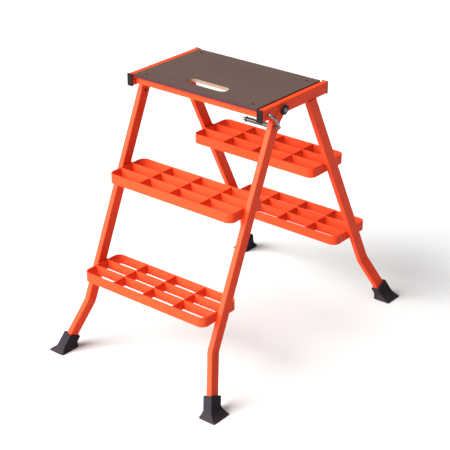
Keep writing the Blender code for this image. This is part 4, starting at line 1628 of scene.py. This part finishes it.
@dataclass
class Studio:
    """Floor, light and camera."""

    floor_half: float = 30.0
    floor_colour: Colour = (0.575, 0.575, 0.575)
    sky: float = 0.08
    lens: float = 108.18
    place: tuple[float, float, float] = (2.1042, -2.6568, 1.9331)
    azimuth: float = 38.696
    elevation: float = 25.594
    roll: float = 0.217
    suns: dict[str, tuple[tuple[float, float, float], float, float, Colour]] = field(
        default_factory=lambda: {
            "key": ((-0.35, -0.80, 0.49), 11.0, 50.0, (1.0, 1.0, 0.98)),
            "top": ((0.10, -0.10, 1.0), 1.45, 80.0, (1.0, 1.0, 1.0)),
        }
    )

    def build(self) -> None:
        """Makes the studio."""
        self.floor()
        self.lights()
        self.camera()

    def floor(self) -> None:
        """A plain pale floor."""
        half = self.floor_half
        corners = np.array([(-half, -half), (half, -half), (half, half), (-half, half)])
        mesh = bpy.data.meshes.new("floor")
        mesh.from_pydata(np.column_stack([corners, np.zeros(4)]).tolist(), [], [(0, 1, 2, 3)])
        ground = bpy.data.objects.new("floor", mesh)
        graph = Graph("floor", self.floor_colour, 0.9)
        graph.set("Specular IOR Level", 0.1)
        mesh.materials.append(graph.material)
        bpy.context.scene.collection.objects.link(ground)

    def lights(self) -> None:
        """Two very wide suns and a dim, even sky."""
        for name, (direction, strength, width, colour) in self.suns.items():
            light = bpy.data.lights.new(name, "SUN")
            light.energy = strength
            light.angle = math.radians(width)
            light.color = colour
            lamp = bpy.data.objects.new(name, light)
            lamp.rotation_euler = Vector(direction).to_track_quat("Z", "Y").to_euler()
            bpy.context.scene.collection.objects.link(lamp)
        world = bpy.data.worlds.new("studio")
        world.use_nodes = True
        glow = world.node_tree.nodes["Background"]
        glow.inputs["Color"].default_value = (1.0, 1.0, 1.0, 1.0)
        glow.inputs["Strength"].default_value = self.sky
        bpy.context.scene.world = world
        bpy.context.scene.view_settings.view_transform = "Standard"

    def camera(self) -> None:
        """The camera, by its place, bearing, elevation and roll."""
        data = bpy.data.cameras.new("camera")
        data.lens = self.lens
        data.sensor_width = 36.0
        data.clip_end = 200.0
        camera = bpy.data.objects.new("camera", data)
        bearing = Euler((math.radians(90 - self.elevation), 0, math.radians(self.azimuth)))
        turn = bearing.to_matrix() @ Matrix.Rotation(math.radians(self.roll), 3, "Z")
        camera.location = self.place
        camera.rotation_euler = turn.to_euler()
        bpy.context.scene.collection.objects.link(camera)
        bpy.context.scene.camera = camera


def main() -> None:
    """Builds the trestle's sub-assemblies in order, then the studio."""
    logging.basicConfig(level=logging.INFO, format="%(name)s: %(message)s")
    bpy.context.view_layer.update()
    bench = Bench(Paintbox())
    rail_low, rail_high = span("end_rail_left")
    platform_y = float(rail_low[1] + rail_high[1]) / 2
    rail_top = float(rail_high[2])
    Deck(bench).build()
    TopFrame(bench).build()
    tread_height = float(np.subtract(*reversed(span("front_lower_step_rim")))[2])
    tops: dict[str, list[float]] = {}
    for label, body in (("front", Body.FRONT), ("rear", Body.PLATFORM)):
        tops[label] = [
            Tread(bench, f"{label}_{level}_step", body, seed=number).build()
            for number, level in enumerate(("lower", "upper"))
        ]
    FrontLegs(bench, platform_y, rail_top).build(tops["front"], tread_height)
    RearLegs(bench, platform_y, rail_top).build(tops["rear"], tread_height)
    for side in Side:
        Pivot(bench, side).build()
    LockPin(bench).build()
    Studio().build()


if __name__ == "__main__":
    main()
